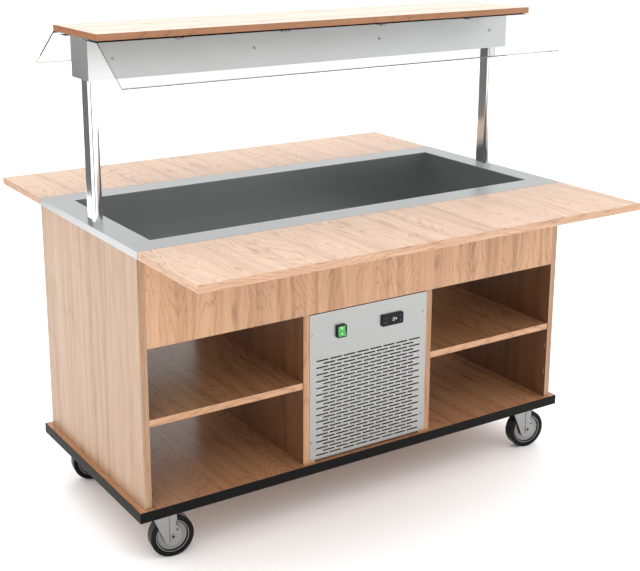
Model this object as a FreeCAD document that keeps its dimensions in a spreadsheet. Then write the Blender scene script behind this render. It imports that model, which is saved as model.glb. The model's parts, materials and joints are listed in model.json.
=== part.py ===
import FreeCAD, Part
import math
import os

import Sketcher

# Mobile refrigerated salad bar. The origin is on the floor under the middle of the bar:
# X runs along the bar, Y from the front (serving side with the controls) to the back, Z up.
# All sizes are in millimetres and degrees.

SIZES = {
    # casters
    "wheel_diameter": 125.0,
    "caster_rise": 30.0,
    "wheel_width": 34.0,
    "wheel_gap": 2.0,
    "rim_diameter": 92.0,
    "rim_lip": 2.0,
    "disc_diameter": 84.0,
    "caster_trail": 24.0,
    "caster_inset_long": 96.0,
    "caster_inset_deep": 70.0,
    "caster_turn": 8.0,
    "caster_plate_length": 105.0,
    "caster_plate_width": 86.0,
    "caster_plate_thickness": 3.0,
    "caster_bolt_pitch_long": 80.0,
    "caster_bolt_pitch_wide": 60.0,
    "bolt_diameter": 8.0,
    "bolt_head": 5.3,
    "bolt_bite": 22.0,
    "fork_sheet": 2.5,
    "fork_eye": 52.0,
    "crease_width": 2.4,
    "crease_depth": 1.2,
    "crease_setback": 9.0,
    "rivet_hole": 6.0,
    "rivet_across": 12.0,
    "rivet_up": 20.0,
    "crown_sheet": 3.0,
    "race_height": 13.0,
    "swivel_race_diameter": 76.0,
    "kingpin_diameter": 12.0,
    "axle_diameter": 10.0,
    "axle_bore": 8.0,
    "axle_flange": 15.0,
    # carcass
    "base_overhang_long": 21.0,
    "base_overhang_deep": 13.0,
    "base_thickness": 30.0,
    "edging_thickness": 2.0,
    "carcass_length": 1460.0,
    "carcass_depth": 666.0,
    "carcass_height": 701.0,
    "panel_thickness": 20.0,
    "apron_thickness": 18.0,
    "apron_height": 247.0,
    "machine_width": 417.0,
    "shelf_drop": 200.0,
    "shelf_thickness": 20.0,
    "shelf_setback": 2.0,
    "shelf_clearance": 0.5,
    "pin_diameter": 5.0,
    "pin_depth": 8.0,
    "pin_setback": 45.0,
    "pin_clearance": 0.1,
    "batten_size": 20.0,
    "hook_slot_low": 87.0,
    "hook_slot_high": 175.0,
    "hook_slot_length": 19.0,
    "hook_slot_width": 7.0,
    "hook_slot_depth": 3.0,
    # vent panels and controls
    "sheet": 1.5,
    "vent_gap": 6.0,
    "vent_top_gap": 2.0,
    "vent_side_gap": 0.5,
    "vent_proud": 1.0,
    "vent_return": 12.0,
    "slot_margin": 23.0,
    "slot_gap": 6.0,
    "slot_height": 4.0,
    "slot_first_height": 11.2,
    "slot_top_margin": 143.6,
    "outlet_length": 82.0,
    "outlet_height": 6.0,
    "outlet_pitch_high": 24.0,
    "outlet_first_height": 101.2,
    "vent_screw_inset": 9.5,
    "vent_screw_low": 54.0,
    "vent_screw_drop": 63.0,
    "screw_diameter": 4.0,
    "screw_head": 2.2,
    "screw_clearance": 0.3,
    "switch_across": -102.0,
    "switch_drop": 64.0,
    "switch_border": 3.0,
    "switch_bezel": 8.0,
    "switch_body_wall": 2.2,
    "switch_body_depth": 26.0,
    "rocker_gap": 0.5,
    "rocker_width": 26.0,
    "rocker_height": 31.0,
    "rocker_tilt": 9.0,
    "rocker_pivot": 3.0,
    "trunnion_diameter": 3.0,
    "trunnion_reach": 0.9,
    "thermostat_across": 79.0,
    "thermostat_drop": 62.0,
    "thermostat_width": 77.0,
    "thermostat_height": 35.0,
    "thermostat_depth": 58.0,
    "thermostat_bezel": 6.0,
    "thermostat_border": 3.5,
    "window_width": 34.0,
    "window_height": 18.0,
    "window_depth": 0.6,
    "key_across": 27.0,
    "key_up": 7.5,
    "key_size": 8.0,
    "key_depth": 2.2,
    "key_proud": 0.6,
    "key_travel": 0.5,
    "key_clearance": 0.4,
    # steel top, well and cold circuit
    "gland_up": 60.0,
    "gland_bore": 7.0,
    "gland_thread": 16.0,
    "gland_flange": 26.0,
    "gland_length": 22.0,
    "gland_inset": 58.5,
    "rim_overhang": 4.0,
    "rim_height": 21.0,
    "rim_return": 14.0,
    "well_margin_long": 75.0,
    "well_margin_deep": 77.0,
    "well_depth": 205.0,
    "tub_flange": 12.0,
    "insulation": 33.5,
    "coil_space": 10.0,
    "coil_tube": 8.0,
    "coil_margin_long": 65.0,
    "coil_margin_deep": 31.0,
    "drain_inset": 58.5,
    "drain_diameter": 26.0,
    "pipe_wall": 2.0,
    "spigot_diameter": 20.0,
    "spigot_drop": 5.0,
    "spigot_length": 30.0,
    # machine space
    "tray_side_gap": 20.5,
    "tray_margin_deep": 55.0,
    "tray_sheet": 2.0,
    "tray_lip": 15.0,
    "compressor_diameter": 170.0,
    "compressor_height": 190.0,
    "compressor_foot_gap": 3.0,
    "compressor_taper": 15.0,
    "compressor_taper_top": 25.0,
    "compressor_dome": 55.0,
    "compressor_dome_inset": 22.0,
    "compressor_crown": 16.0,
    "compressor_foot_margin": 6.0,
    "compressor_foot_sheet": 4.0,
    "stub_length": 25.0,
    "terminal_width": 56.0,
    "terminal_height": 50.0,
    "terminal_depth": 32.0,
    "compressor_side_gap": 103.0,
    "suction_across": 15.0,
    "suction_along": 35.0,
    "discharge_across": -25.0,
    "discharge_along": -30.0,
    "condenser_side_gap": 38.0,
    "condenser_depth": 45.0,
    "condenser_height": 250.0,
    "condenser_edge": 8.0,
    "fin_thickness": 2.0,
    "fan_gap": 8.0,
    "fan_depth": 32.0,
    "fan_diameter": 200.0,
    "fan_hub": 50.0,
    "blade_thickness": 2.0,
    "motor_diameter": 80.0,
    "motor_length": 60.0,
    "stand_width": 60.0,
    "stand_length": 40.0,
    "stand_sheet": 3.0,
    "shaft_diameter": 8.0,
    # hood
    "hood_gap": 511.0,
    "hood_overhang": 12.0,
    "hood_depth": 298.0,
    "hood_thickness": 18.0,
    "light_depth": 114.0,
    "light_height": 115.0,
    "light_screw_inset": 69.6,
    "light_screw_up": 55.0,
    "light_lip": 20.0,
    "lamp_width": 60.0,
    "lamp_height": 22.0,
    "strap_width": 20.0,
    "strap_sheet": 2.0,
    "strap_rise": 10.0,
    "strap_leg": 18.0,
    "lamp_inset": 78.0,
    "glass_thickness": 5.0,
    "glass_reach": 147.0,
    "glass_drop": 102.0,
    "glass_side_gap": 3.0,
    "clamp_end_inset": 240.0,
    "clamp_inset": 14.0,
    "clamp_size": 22.0,
    "clamp_sheet": 4.0,
    "clamp_head": 3.0,
    "post_inset": 32.0,
    "post_width": 60.0,
    "post_thickness": 30.0,
    "post_wall": 2.0,
    "post_foot": 25.0,
    "post_crown": 12.0,
    "post_bolt_pitch": 30.0,
    # folding wings
    "wing_gap": 1.0,
    "wing_depth": 326.0,
    "wing_thickness": 21.0,
    "bracket_end_inset": 250.0,
    "bracket_width": 30.0,
    "bracket_sheet": 2.0,
    "bracket_depth": 16.0,
    "bracket_tail": 6.0,
    "pivot_out": 10.0,
    "pivot_down": 12.0,
    "pivot_diameter": 6.0,
    "ear_margin": 7.0,
    "bracket_top_gap": 4.0,
    "arm_width": 24.0,
    "arm_end_gap": 64.0,
    "notch_clearance": 0.9,
    "strut_drop": 90.0,
    "strut_length": 150.0,
    "strut_width": 14.0,
    "strut_sheet": 3.0,
    "roller_diameter": 12.0,
    "roller_width": 14.0,
    "running_clearance": 0.3,
}

document = FreeCAD.newDocument("mobile_salad_bar")
sheet = document.addObject("Spreadsheet::Sheet", "sizes")
for line, (alias, number) in enumerate(SIZES.items(), start=1):
    sheet.set(f"A{line}", alias)
    sheet.set(f"B{line}", str(number))
    sheet.setAlias(f"B{line}", alias)
document.recompute()


class Size:
    """A size as an expression on the sheet, together with its present value."""

    def __init__(self, text, value):
        self.text = text
        self.value = value

    def __add__(self, other):
        return combine(self, "+", other)

    def __radd__(self, other):
        return combine(other, "+", self)

    def __sub__(self, other):
        return combine(self, "-", other)

    def __rsub__(self, other):
        return combine(other, "-", self)

    def __mul__(self, other):
        return combine(self, "*", other)

    def __rmul__(self, other):
        return combine(other, "*", self)

    def __truediv__(self, other):
        return combine(self, "/", other)

    def __neg__(self):
        return combine(0, "-", self)


def as_size(number):
    """Turns a plain number into a size, and leaves a size as it is."""
    return number if isinstance(number, Size) else Size(f"({number})", float(number))


def combine(first, sign, second):
    """Joins two sizes with an arithmetic sign."""
    first, second = as_size(first), as_size(second)
    results = {
        "+": lambda: first.value + second.value,
        "-": lambda: first.value - second.value,
        "*": lambda: first.value * second.value,
        "/": lambda: first.value / second.value,
    }
    return Size(f"({first.text} {sign} {second.text})", results[sign]())


def sine(angle):
    """The sine of an angle in degrees."""
    return Size(f"sin({angle.text} * 1deg)", math.sin(math.radians(angle.value)))


def cosine(angle):
    """The cosine of an angle in degrees."""
    return Size(f"cos({angle.text} * 1deg)", math.cos(math.radians(angle.value)))


def root(area):
    """The square root of a size."""
    return Size(f"sqrt({area.text})", math.sqrt(area.value))


class Sheet:
    """Gives the sheet's cells as sizes, by their alias."""

    def __getattr__(self, alias):
        return Size(f"sizes.{alias}", SIZES[alias])


s = Sheet()
nodes = []


# ---------------------------------------------------------------- general helpers


def bind(thing, name, size):
    """Binds one property of an object to a size."""
    thing.setExpression(name, as_size(size).text)


def place(thing, at, axis=(0, 0, 1), angle=0):
    """Puts an object at a point, turned about an axis; every coordinate is bound."""
    turn = FreeCAD.Rotation(FreeCAD.Vector(*axis), as_size(angle).value)
    corner = FreeCAD.Vector(*[as_size(c).value for c in at])
    thing.Placement = FreeCAD.Placement(corner, turn)
    for letter, coordinate in zip("xyz", at):
        bind(thing, f"Placement.Base.{letter}", coordinate)
    if isinstance(angle, Size):
        bind(thing, "Placement.Rotation.Angle", angle)


def keep(name, thing):
    """Names an object as one of the bar's sub-parts."""
    thing.Label = name
    nodes.append(thing)
    return thing


def block(name, at, size):
    """A box from its lowest corner and its three sides."""
    box = document.addObject("Part::Box", name)
    for side, length in zip(("Length", "Width", "Height"), size):
        bind(box, side, length)
    place(box, at)
    return box


TURNS = {"Z": ((0, 0, 1), 0), "X": ((0, 1, 0), 90), "Y": ((1, 0, 0), -90)}


def rod(name, at, radius, length, along="Z"):
    """A cylinder that starts at a point and runs along an axis."""
    cylinder = document.addObject("Part::Cylinder", name)
    bind(cylinder, "Radius", radius)
    bind(cylinder, "Height", length)
    place(cylinder, at, *TURNS[along])
    return cylinder


def group(name, things):
    """Several separate solids as one object."""
    compound = document.addObject("Part::Compound", name)
    compound.Links = things
    return compound


def cut(name, base, tools):
    """An object with others taken out of it."""
    result = document.addObject("Part::Cut", name)
    result.Base = base
    result.Tool = tools[0] if len(tools) == 1 else group(name + "_tools", tools)
    return result


def fuse(name, things):
    """Objects joined into one solid."""
    result = document.addObject("Part::MultiFuse", name)
    result.Shapes = things
    result.Refine = True
    return result


def mirrored(name, source, across):
    """The mirror image of an object in a plane through the origin."""
    image = document.addObject("Part::Mirroring", name)
    image.Source = source
    image.Normal = FreeCAD.Vector(*across)
    image.Base = FreeCAD.Vector(0, 0, 0)
    return image


# ---------------------------------------------------------------- part design helpers


def new_body(name, at=(0, 0, 0), axis=(0, 0, 1), angle=0):
    """An empty body at a point."""
    body = document.addObject("PartDesign::Body", name)
    place(body, at, axis, angle)
    return body


def origin_feature(body, role):
    """One of a body's own origin planes or axes."""
    return [f for f in body.Origin.OriginFeatures if f.Role == role][0]


def new_sketch(body, name, plane, offset=0):
    """A sketch on one of the body's origin planes, moved along the plane's normal."""
    sketch = body.newObject("Sketcher::SketchObject", name)
    sketch.AttachmentSupport = (origin_feature(body, plane + "_Plane"), [""])
    sketch.MapMode = "FlatFace"
    bind(sketch, "AttachmentOffset.Base.z", offset)
    return sketch


def constrain(sketch, size, kind, *where):
    """Adds one dimension to a sketch and binds it to a size."""
    size = as_size(size)
    index = sketch.addConstraint(Sketcher.Constraint(kind, *where, size.value))
    sketch.setExpression(f"Constraints[{index}]", size.text)


def pin_point(sketch, line, end, x, y):
    """Fixes a point of the sketch by its two distances from the origin."""
    constrain(sketch, x, "DistanceX", -1, 1, line, end)
    constrain(sketch, y, "DistanceY", -1, 1, line, end)


def polygon(sketch, points):
    """A closed outline of straight lines through points."""
    points = [(as_size(x), as_size(y)) for x, y in points]
    spots = [FreeCAD.Vector(x.value, y.value, 0) for x, y in points]
    first = sketch.GeometryCount
    count = len(spots)
    for i in range(count):
        sketch.addGeometry(Part.LineSegment(spots[i], spots[(i + 1) % count]))
    for i in range(count):
        following = first + (i + 1) % count
        sketch.addConstraint(Sketcher.Constraint("Coincident", first + i, 2, following, 1))
    for i, (x, y) in enumerate(points):
        pin_point(sketch, first + i, 1, x, y)


def rectangle(sketch, x, y, width, height):
    """A rectangle from its lower left corner."""
    polygon(sketch, [(x, y), (x + width, y), (x + width, y + height), (x, y + height)])


def circle(sketch, x, y, radius):
    """A full circle."""
    x, y, radius = as_size(x), as_size(y), as_size(radius)
    centre = FreeCAD.Vector(x.value, y.value, 0)
    ring = sketch.addGeometry(Part.Circle(centre, FreeCAD.Vector(0, 0, 1), radius.value))
    pin_point(sketch, ring, 3, x, y)
    constrain(sketch, radius, "Radius", ring)


def rounded_rectangle(sketch, x, y, width, height, radius):
    """A rectangle from its lower left corner, with round corners."""
    x, y, width, height, radius = map(as_size, (x, y, width, height, radius))
    left, right = x.value, x.value + width.value
    low, high = y.value, y.value + height.value
    r = radius.value
    corners = [(right - r, low + r), (right - r, high - r), (left + r, high - r), (left + r, low + r)]
    starts = [(left + r, low), (right, low + r), (right - r, high), (left, high - r)]
    ends = [(right - r, low), (right, high - r), (left + r, high), (left, low + r)]
    up = FreeCAD.Vector(0, 0, 1)
    first = sketch.GeometryCount
    for i in range(4):
        line = Part.LineSegment(FreeCAD.Vector(*starts[i], 0), FreeCAD.Vector(*ends[i], 0))
        arc = Part.ArcOfCircle(
            Part.Circle(FreeCAD.Vector(*corners[i], 0), up, r),
            (i - 1) * math.pi / 2,
            i * math.pi / 2,
        )
        sketch.addGeometry(line)
        sketch.addGeometry(arc)
    for i in range(4):
        line, arc = first + 2 * i, first + 2 * i + 1
        following = first + (2 * i + 2) % 8
        sketch.addConstraint(Sketcher.Constraint("Tangent", line, 2, arc, 1))
        sketch.addConstraint(Sketcher.Constraint("Tangent", arc, 2, following, 1))
        direction = "Horizontal" if i % 2 == 0 else "Vertical"
        sketch.addConstraint(Sketcher.Constraint(direction, line))
        if i:
            sketch.addConstraint(Sketcher.Constraint("Equal", first + 1, arc))
    constrain(sketch, radius, "Radius", first + 1)
    constrain(sketch, x, "DistanceX", -1, 1, first + 6, 1)
    constrain(sketch, y, "DistanceY", -1, 1, first, 1)
    constrain(sketch, width, "DistanceX", first + 6, 1, first + 2, 1)
    constrain(sketch, height, "DistanceY", first, 1, first + 4, 1)


def oval(sketch, width, height):
    """An upright oval with straight sides, centred on the sketch's origin."""
    width, height = as_size(width), as_size(height)
    r = width.value / 2
    rise = height.value / 2 - r
    up = FreeCAD.Vector(0, 0, 1)
    first = sketch.GeometryCount
    sketch.addGeometry(Part.LineSegment(FreeCAD.Vector(r, -rise, 0), FreeCAD.Vector(r, rise, 0)))
    sketch.addGeometry(Part.ArcOfCircle(Part.Circle(FreeCAD.Vector(0, rise, 0), up, r), 0, math.pi))
    sketch.addGeometry(Part.LineSegment(FreeCAD.Vector(-r, rise, 0), FreeCAD.Vector(-r, -rise, 0)))
    lower = Part.Circle(FreeCAD.Vector(0, -rise, 0), up, r)
    sketch.addGeometry(Part.ArcOfCircle(lower, math.pi, 2 * math.pi))
    for i in range(4):
        following = first + (i + 1) % 4
        sketch.addConstraint(Sketcher.Constraint("Tangent", first + i, 2, following, 1))
    sketch.addConstraint(Sketcher.Constraint("Vertical", first))
    pin_point(sketch, first + 1, 3, 0, height / 2 - width / 2)
    pin_point(sketch, first + 3, 3, 0, width / 2 - height / 2)
    constrain(sketch, width / 2, "Radius", first + 1)


def pad(body, sketch, length, reverse=False, both=False):
    """Extrudes a sketch into material."""
    feature = body.newObject("PartDesign::Pad", sketch.Name + "_pad")
    feature.Profile = sketch
    bind(feature, "Length", length)
    feature.Reversed = reverse
    feature.Midplane = both
    body.Tip = feature
    return feature


def pocket(body, sketch, length, reverse=False, both=False):
    """Cuts a sketch out of the material."""
    feature = body.newObject("PartDesign::Pocket", sketch.Name + "_pocket")
    feature.Profile = sketch
    bind(feature, "Length", length)
    feature.Reversed = reverse
    feature.Midplane = both
    body.Tip = feature
    return feature


def revolve(body, sketch, axis):
    """Turns a sketch through a full circle about one of its own axes."""
    feature = body.newObject("PartDesign::Revolution", sketch.Name + "_turned")
    feature.Profile = sketch
    feature.ReferenceAxis = (sketch, [axis])
    feature.Angle = 360
    body.Tip = feature
    return feature


def polar(body, features, axis, count):
    """Repeats features evenly about an origin axis."""
    feature = body.newObject("PartDesign::PolarPattern", features[0].Name + "_ring")
    feature.Originals = features
    feature.Axis = (origin_feature(body, axis + "_Axis"), [""])
    feature.Angle = 360
    feature.Occurrences = count
    body.Tip = feature
    return feature


def row(body, features, axis, count, pitch):
    """Repeats features in a straight row along an origin axis."""
    feature = body.newObject("PartDesign::LinearPattern", features[0].Name + "_row")
    feature.Originals = features
    feature.Direction = (origin_feature(body, axis + "_Axis"), [""])
    bind(feature, "Length", pitch * (count - 1))
    feature.Occurrences = count
    body.Tip = feature
    return feature


def loft(body, first, last):
    """A straight-sided loft between two sketches."""
    feature = body.newObject("PartDesign::AdditiveLoft", first.Name + "_loft")
    feature.Profile = first
    feature.Sections = [last]
    feature.Ruled = True
    body.Tip = feature
    return feature


def grid(body, features, columns, column_pitch, rows, row_pitch):
    """Repeats features in columns along X and rows along Z."""
    whole = body.newObject("PartDesign::MultiTransform", features[0].Name + "_grid")
    whole.Originals = features
    steps = []
    for axis, count, pitch in (("X", columns, column_pitch), ("Z", rows, row_pitch)):
        step = body.newObject("PartDesign::LinearPattern", f"{whole.Name}_{axis}")
        step.Direction = (origin_feature(body, axis + "_Axis"), [""])
        bind(step, "Length", pitch * (count - 1))
        step.Occurrences = count
        steps.append(step)
    whole.Transformations = steps
    body.Tip = whole
    return whole


# ---------------------------------------------------------------- levels and lines

base_length = s.carcass_length + 2 * s.base_overhang_long
base_depth = s.carcass_depth + 2 * s.base_overhang_deep
caster_height = s.wheel_diameter + s.caster_rise
base_bottom = caster_height
base_top = base_bottom + s.base_thickness
carcass_top = base_top + s.carcass_height
rim_top = carcass_top + s.rim_height
rim_depth = s.carcass_depth + 2 * s.rim_overhang
hood_bottom = rim_top + s.hood_gap
bay_height = s.carcass_height - s.apron_height
bay_top = base_top + bay_height
front_line = s.carcass_depth / 2
end_inner = s.carcass_length / 2 - s.panel_thickness
divider_inner = s.machine_width / 2
divider_outer = divider_inner + s.panel_thickness
well_length = s.carcass_length - 2 * s.well_margin_long
well_width = s.carcass_depth - 2 * s.well_margin_deep
tub_outer_bottom = rim_top - s.well_depth - s.sheet
insulation_bottom = tub_outer_bottom - s.coil_space - s.insulation
vent_face = front_line + s.vent_proud
vent_bottom = base_top + s.vent_gap
vent_height = bay_height - s.vent_gap - s.vent_top_gap
vent_screw_high = vent_height - s.vent_screw_drop
shelf_top = bay_top - s.shelf_drop
pin_height = shelf_top - s.shelf_thickness - s.pin_diameter / 2
gland_across = s.machine_width / 2 - s.gland_inset
drain_across = s.machine_width / 2 - s.drain_inset
post_spacing = s.carcass_length - 2 * s.post_inset
light_length = post_spacing + s.post_thickness + s.light_lip
hood_length = light_length + 2 * s.hood_overhang
SIDES = ((-1, "left"), (1, "right"))
COIL_RUNS = 4
MITRED = 1
CONDENSER_GAPS = 30
SLOT_COLUMNS = 8
SLOT_ROWS = 15


def shelf_pins_at(side, wall):
    """The two pin places of one wall, given the wall face's distance from the middle."""
    return [(side * wall, end * (front_line - s.pin_setback), pin_height) for end in (-1, 1)]


# ---------------------------------------------------------------- base and carcass


def caster_centres():
    """The four swivel axes, with the name of each corner."""
    places = []
    for depth, end in ((-1, "front"), (1, "rear")):
        for side, name in SIDES:
            x = side * (base_length / 2 - s.caster_inset_long)
            y = depth * (base_depth / 2 - s.caster_inset_deep)
            places.append((f"{end}_{name}", x, y))
    return places


def caster_bolts(x, y):
    """The four bolt places of one caster plate."""
    dx, dy = s.caster_bolt_pitch_long / 2, s.caster_bolt_pitch_wide / 2
    return [(x + i * dx, y + j * dy) for i in (-1, 1) for j in (-1, 1)]


def base():
    """The base board with its bolt and drain holes, and the edging round it."""
    length = base_length - 2 * s.edging_thickness
    depth = base_depth - 2 * s.edging_thickness
    board = block("base_core", (-length / 2, -depth / 2, base_bottom), (length, depth, s.base_thickness))
    holes = []
    for corner, x, y in caster_centres():
        for i, (bx, by) in enumerate(caster_bolts(x, y)):
            radius = s.bolt_diameter / 2 + s.screw_clearance
            at = (bx, by, base_bottom - 1)
            holes.append(rod(f"hole_{corner}_{i}", at, radius, s.bolt_bite + 3))
    drain = s.drain_diameter / 2 + s.screw_clearance
    at = (drain_across, 0, base_bottom - 1)
    holes.append(rod("hole_drain", at, drain, s.base_thickness + 2))
    keep("base_board", cut("base_board", board, holes))
    outer = block(
        "edging_outer",
        (-base_length / 2, -base_depth / 2, base_bottom),
        (base_length, base_depth, s.base_thickness),
    )
    inner = block(
        "edging_inner",
        (-length / 2, -depth / 2, base_bottom - 1),
        (length, depth, s.base_thickness + 2),
    )
    keep("base_edging", cut("base_edging", outer, [inner]))


def end_panels():
    """The two end panels, drilled for the shelf pins; the right one has two narrow slots."""
    for side, name in SIDES:
        left = end_inner if side > 0 else -s.carcass_length / 2
        panel = block(
            f"{name}_end_core",
            (left, -front_line, base_top),
            (s.panel_thickness, s.carcass_depth, s.carcass_height),
        )
        radius = s.pin_diameter / 2 + s.pin_clearance
        tools = []
        for i, (x, y, z) in enumerate(shelf_pins_at(side, end_inner)):
            start = x if side > 0 else x - s.pin_depth
            tools.append(rod(f"{name}_end_pin_hole_{i}", (start, y, z), radius, s.pin_depth, "X"))
        if side > 0:
            slot = (s.hook_slot_depth, s.hook_slot_width, s.hook_slot_length)
            for i, height in enumerate((s.hook_slot_low, s.hook_slot_high)):
                at = (left, 2 - front_line, base_top + height - s.hook_slot_length / 2)
                tools.append(block(f"end_slot_{i}", at, slot))
        keep(f"{name}_end_panel", cut(f"{name}_end_panel", panel, tools))


def dividers():
    """The walls of the machine space, notched for the aprons, with battens for the vent panels."""
    for side, name in SIDES:
        face = divider_outer if side > 0 else -divider_inner
        body = new_body(f"{name}_divider", (face, 0, base_top), (0, 0, 1), 0)
        rise = insulation_bottom - base_top
        behind = front_line - s.apron_thickness
        wall = new_sketch(body, f"{name}_wall", "YZ")
        polygon(
            wall,
            [
                (-front_line, 0),
                (front_line, 0),
                (front_line, bay_height),
                (behind, bay_height),
                (behind, rise),
                (-behind, rise),
                (-behind, bay_height),
                (-front_line, bay_height),
            ],
        )
        pad(body, wall, s.panel_thickness, reverse=True)
        strip = new_sketch(body, f"{name}_batten", "XY")
        start = -s.panel_thickness - s.batten_size if side > 0 else as_size(0)
        batten_face = vent_face - s.sheet
        rectangle(strip, start, -batten_face, s.batten_size, s.batten_size)
        rectangle(strip, start, batten_face - s.batten_size, s.batten_size, s.batten_size)
        pad(body, strip, vent_height - s.vent_return)
        pins = new_sketch(body, f"{name}_pin_holes", "YZ", 0 if side > 0 else -s.panel_thickness)
        for end in (-1, 1):
            radius = s.pin_diameter / 2 + s.pin_clearance
            circle(pins, end * (front_line - s.pin_setback), pin_height - base_top, radius)
        pocket(body, pins, s.pin_depth, reverse=side < 0)
        inset = s.vent_screw_inset + s.vent_side_gap
        across = start + s.batten_size - inset if side > 0 else start + inset
        pilot = new_sketch(body, f"{name}_pilot_holes", "XZ")
        for height in (s.vent_screw_low, vent_screw_high):
            circle(pilot, across, height + s.vent_gap, s.screw_diameter / 2 + s.pin_clearance)
        pocket(body, pilot, s.carcass_depth + 2, both=True)
        keep(f"{name}_divider", body)


def aprons_and_shelves():
    """The aprons under the steel top, the two shelves and their pins."""
    for name, near in (("front", -front_line), ("rear", front_line - s.apron_thickness)):
        size = (2 * end_inner, s.apron_thickness, s.apron_height)
        keep(f"{name}_apron", block(f"{name}_apron", (-end_inner, near, bay_top), size))
    width = end_inner - divider_outer - 2 * s.shelf_clearance
    depth = s.carcass_depth - 2 * s.shelf_setback
    pins = []
    for side, name in SIDES:
        left = divider_outer + s.shelf_clearance if side > 0 else -end_inner + s.shelf_clearance
        at = (left, -depth / 2, shelf_top - s.shelf_thickness)
        keep(f"{name}_shelf", block(f"{name}_shelf", at, (width, depth, s.shelf_thickness)))
        for wall, outward in ((end_inner, 1), (divider_outer, -1)):
            for i, (x, y, z) in enumerate(shelf_pins_at(side, wall)):
                start = x - s.pin_depth
                at = (start, y, z)
                pin = rod(f"pin_{name}_{outward}_{i}", at, s.pin_diameter / 2, 2 * s.pin_depth, "X")
                pins.append(pin)
    keep("shelf_pins", group("shelf_pins", pins))


# ---------------------------------------------------------------- vent panels


def vent_panel(name, front):
    """A sheet steel panel with folded top and bottom edges, slots and screw holes."""
    width = s.machine_width - 2 * s.vent_side_gap
    near = -vent_face if front else vent_face
    body = new_body(name, (0, near, vent_bottom), (0, 0, 1), 0 if front else 180)
    face = new_sketch(body, f"{name}_face", "XZ")
    rectangle(face, -width / 2, as_size(0), width, vent_height)
    pad(body, face, s.sheet, reverse=True)
    folds = new_sketch(body, f"{name}_folds", "XZ", -s.sheet)
    fold_width = s.machine_width - 2 * s.batten_size - 4
    rectangle(folds, -fold_width / 2, as_size(0), fold_width, s.sheet)
    rectangle(folds, -fold_width / 2, vent_height - s.sheet, fold_width, s.sheet)
    pad(body, folds, s.vent_return, reverse=True)
    holes = new_sketch(body, f"{name}_holes", "XZ")
    for side in (-1, 1):
        for height in (s.vent_screw_low, vent_screw_high):
            radius = s.screw_diameter / 2 + s.screw_clearance
            circle(holes, side * (width / 2 - s.vent_screw_inset), height, radius)
    if front:
        margin = 2 * (s.switch_body_wall + s.running_clearance)
        switch_w, switch_h = s.rocker_width + margin, s.rocker_height + margin
        left, low = s.switch_across - switch_w / 2, vent_height - s.switch_drop - switch_h / 2
        rectangle(holes, left, low, switch_w, switch_h)
        margin = 2 * (s.thermostat_border - s.running_clearance)
        box_w, box_h = s.thermostat_width - margin, s.thermostat_height - margin
        left, low = s.thermostat_across - box_w / 2, vent_height - s.thermostat_drop - box_h / 2
        rectangle(holes, left, low, box_w, box_h)
    else:
        circle(holes, -gland_across, s.gland_up, s.gland_thread / 2 + s.running_clearance)
    pocket(body, holes, s.sheet)
    if front:
        pitch_long = (width - 2 * s.slot_margin + s.slot_gap) / SLOT_COLUMNS
        pitch_high = (vent_height - s.slot_top_margin - s.slot_first_height) / (SLOT_ROWS - 1)
        length = pitch_long - s.slot_gap
        for fewer in (0, 1):
            columns, rows = SLOT_COLUMNS - fewer, SLOT_ROWS - fewer
            slot = new_sketch(body, f"{name}_slot_{fewer}", "XZ")
            span = pitch_long * (columns - 1) + length
            low = s.slot_first_height + fewer * pitch_high / 2
            rectangle(slot, -span / 2, low, length, s.slot_height)
            first = pocket(body, slot, s.sheet)
            grid(body, [first], columns, pitch_long, rows, pitch_high)
    else:
        slot = new_sketch(body, f"{name}_outlet", "XZ")
        pitch = s.outlet_length + 8
        span = 3 * pitch + s.outlet_length
        rectangle(slot, -span / 2, s.outlet_first_height, s.outlet_length, s.outlet_height)
        first = pocket(body, slot, s.sheet)
        grid(body, [first], 4, pitch, 12, s.outlet_pitch_high)
    keep(name, body)


def thermostat():
    """The digital controller: a bezel on a deep housing, with a window and four keys."""
    centre = (s.thermostat_across, -vent_face, vent_bottom + vent_height - s.thermostat_drop)
    body = new_body("thermostat_housing", centre)
    bezel = new_sketch(body, "thermostat_bezel", "XZ")
    rounded_rectangle(
        bezel,
        -s.thermostat_width / 2,
        -s.thermostat_height / 2,
        s.thermostat_width,
        s.thermostat_height,
        as_size(4),
    )
    pad(body, bezel, s.thermostat_bezel)
    housing = new_sketch(body, "thermostat_box", "XZ")
    width = s.thermostat_width - 2 * s.thermostat_border
    height = s.thermostat_height - 2 * s.thermostat_border
    rectangle(housing, -width / 2, -height / 2, width, height)
    pad(body, housing, s.thermostat_depth, reverse=True)
    window = new_sketch(body, "thermostat_window", "XZ", s.thermostat_bezel)
    width, height = s.window_width, s.window_height
    rounded_rectangle(window, -width / 2, -height / 2, width, height, as_size(2))
    pocket(body, window, s.window_depth)
    wells = new_sketch(body, "thermostat_key_wells", "XZ", s.thermostat_bezel)
    well = s.key_size + 2 * s.key_clearance
    keys = {"set": (-1, 1), "power": (-1, -1), "up": (1, 1), "down": (1, -1)}
    for x, z in keys.values():
        rectangle(wells, x * s.key_across - well / 2, z * s.key_up - well / 2, well, well)
    pocket(body, wells, s.key_depth - s.key_proud + s.key_travel + s.running_clearance)
    keep("thermostat_housing", body)
    for name, (x, z) in keys.items():
        out = centre[1] - s.thermostat_bezel
        at = (centre[0] + x * s.key_across, out, centre[2] + z * s.key_up)
        key = new_body(f"thermostat_key_{name}", at)
        cap = new_sketch(key, f"key_{name}_cap", "XZ", s.key_proud)
        rounded_rectangle(cap, -s.key_size / 2, -s.key_size / 2, s.key_size, s.key_size, as_size(1.5))
        pad(key, cap, s.key_depth, reverse=True)
        keep(f"thermostat_key_{name}", key)


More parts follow.
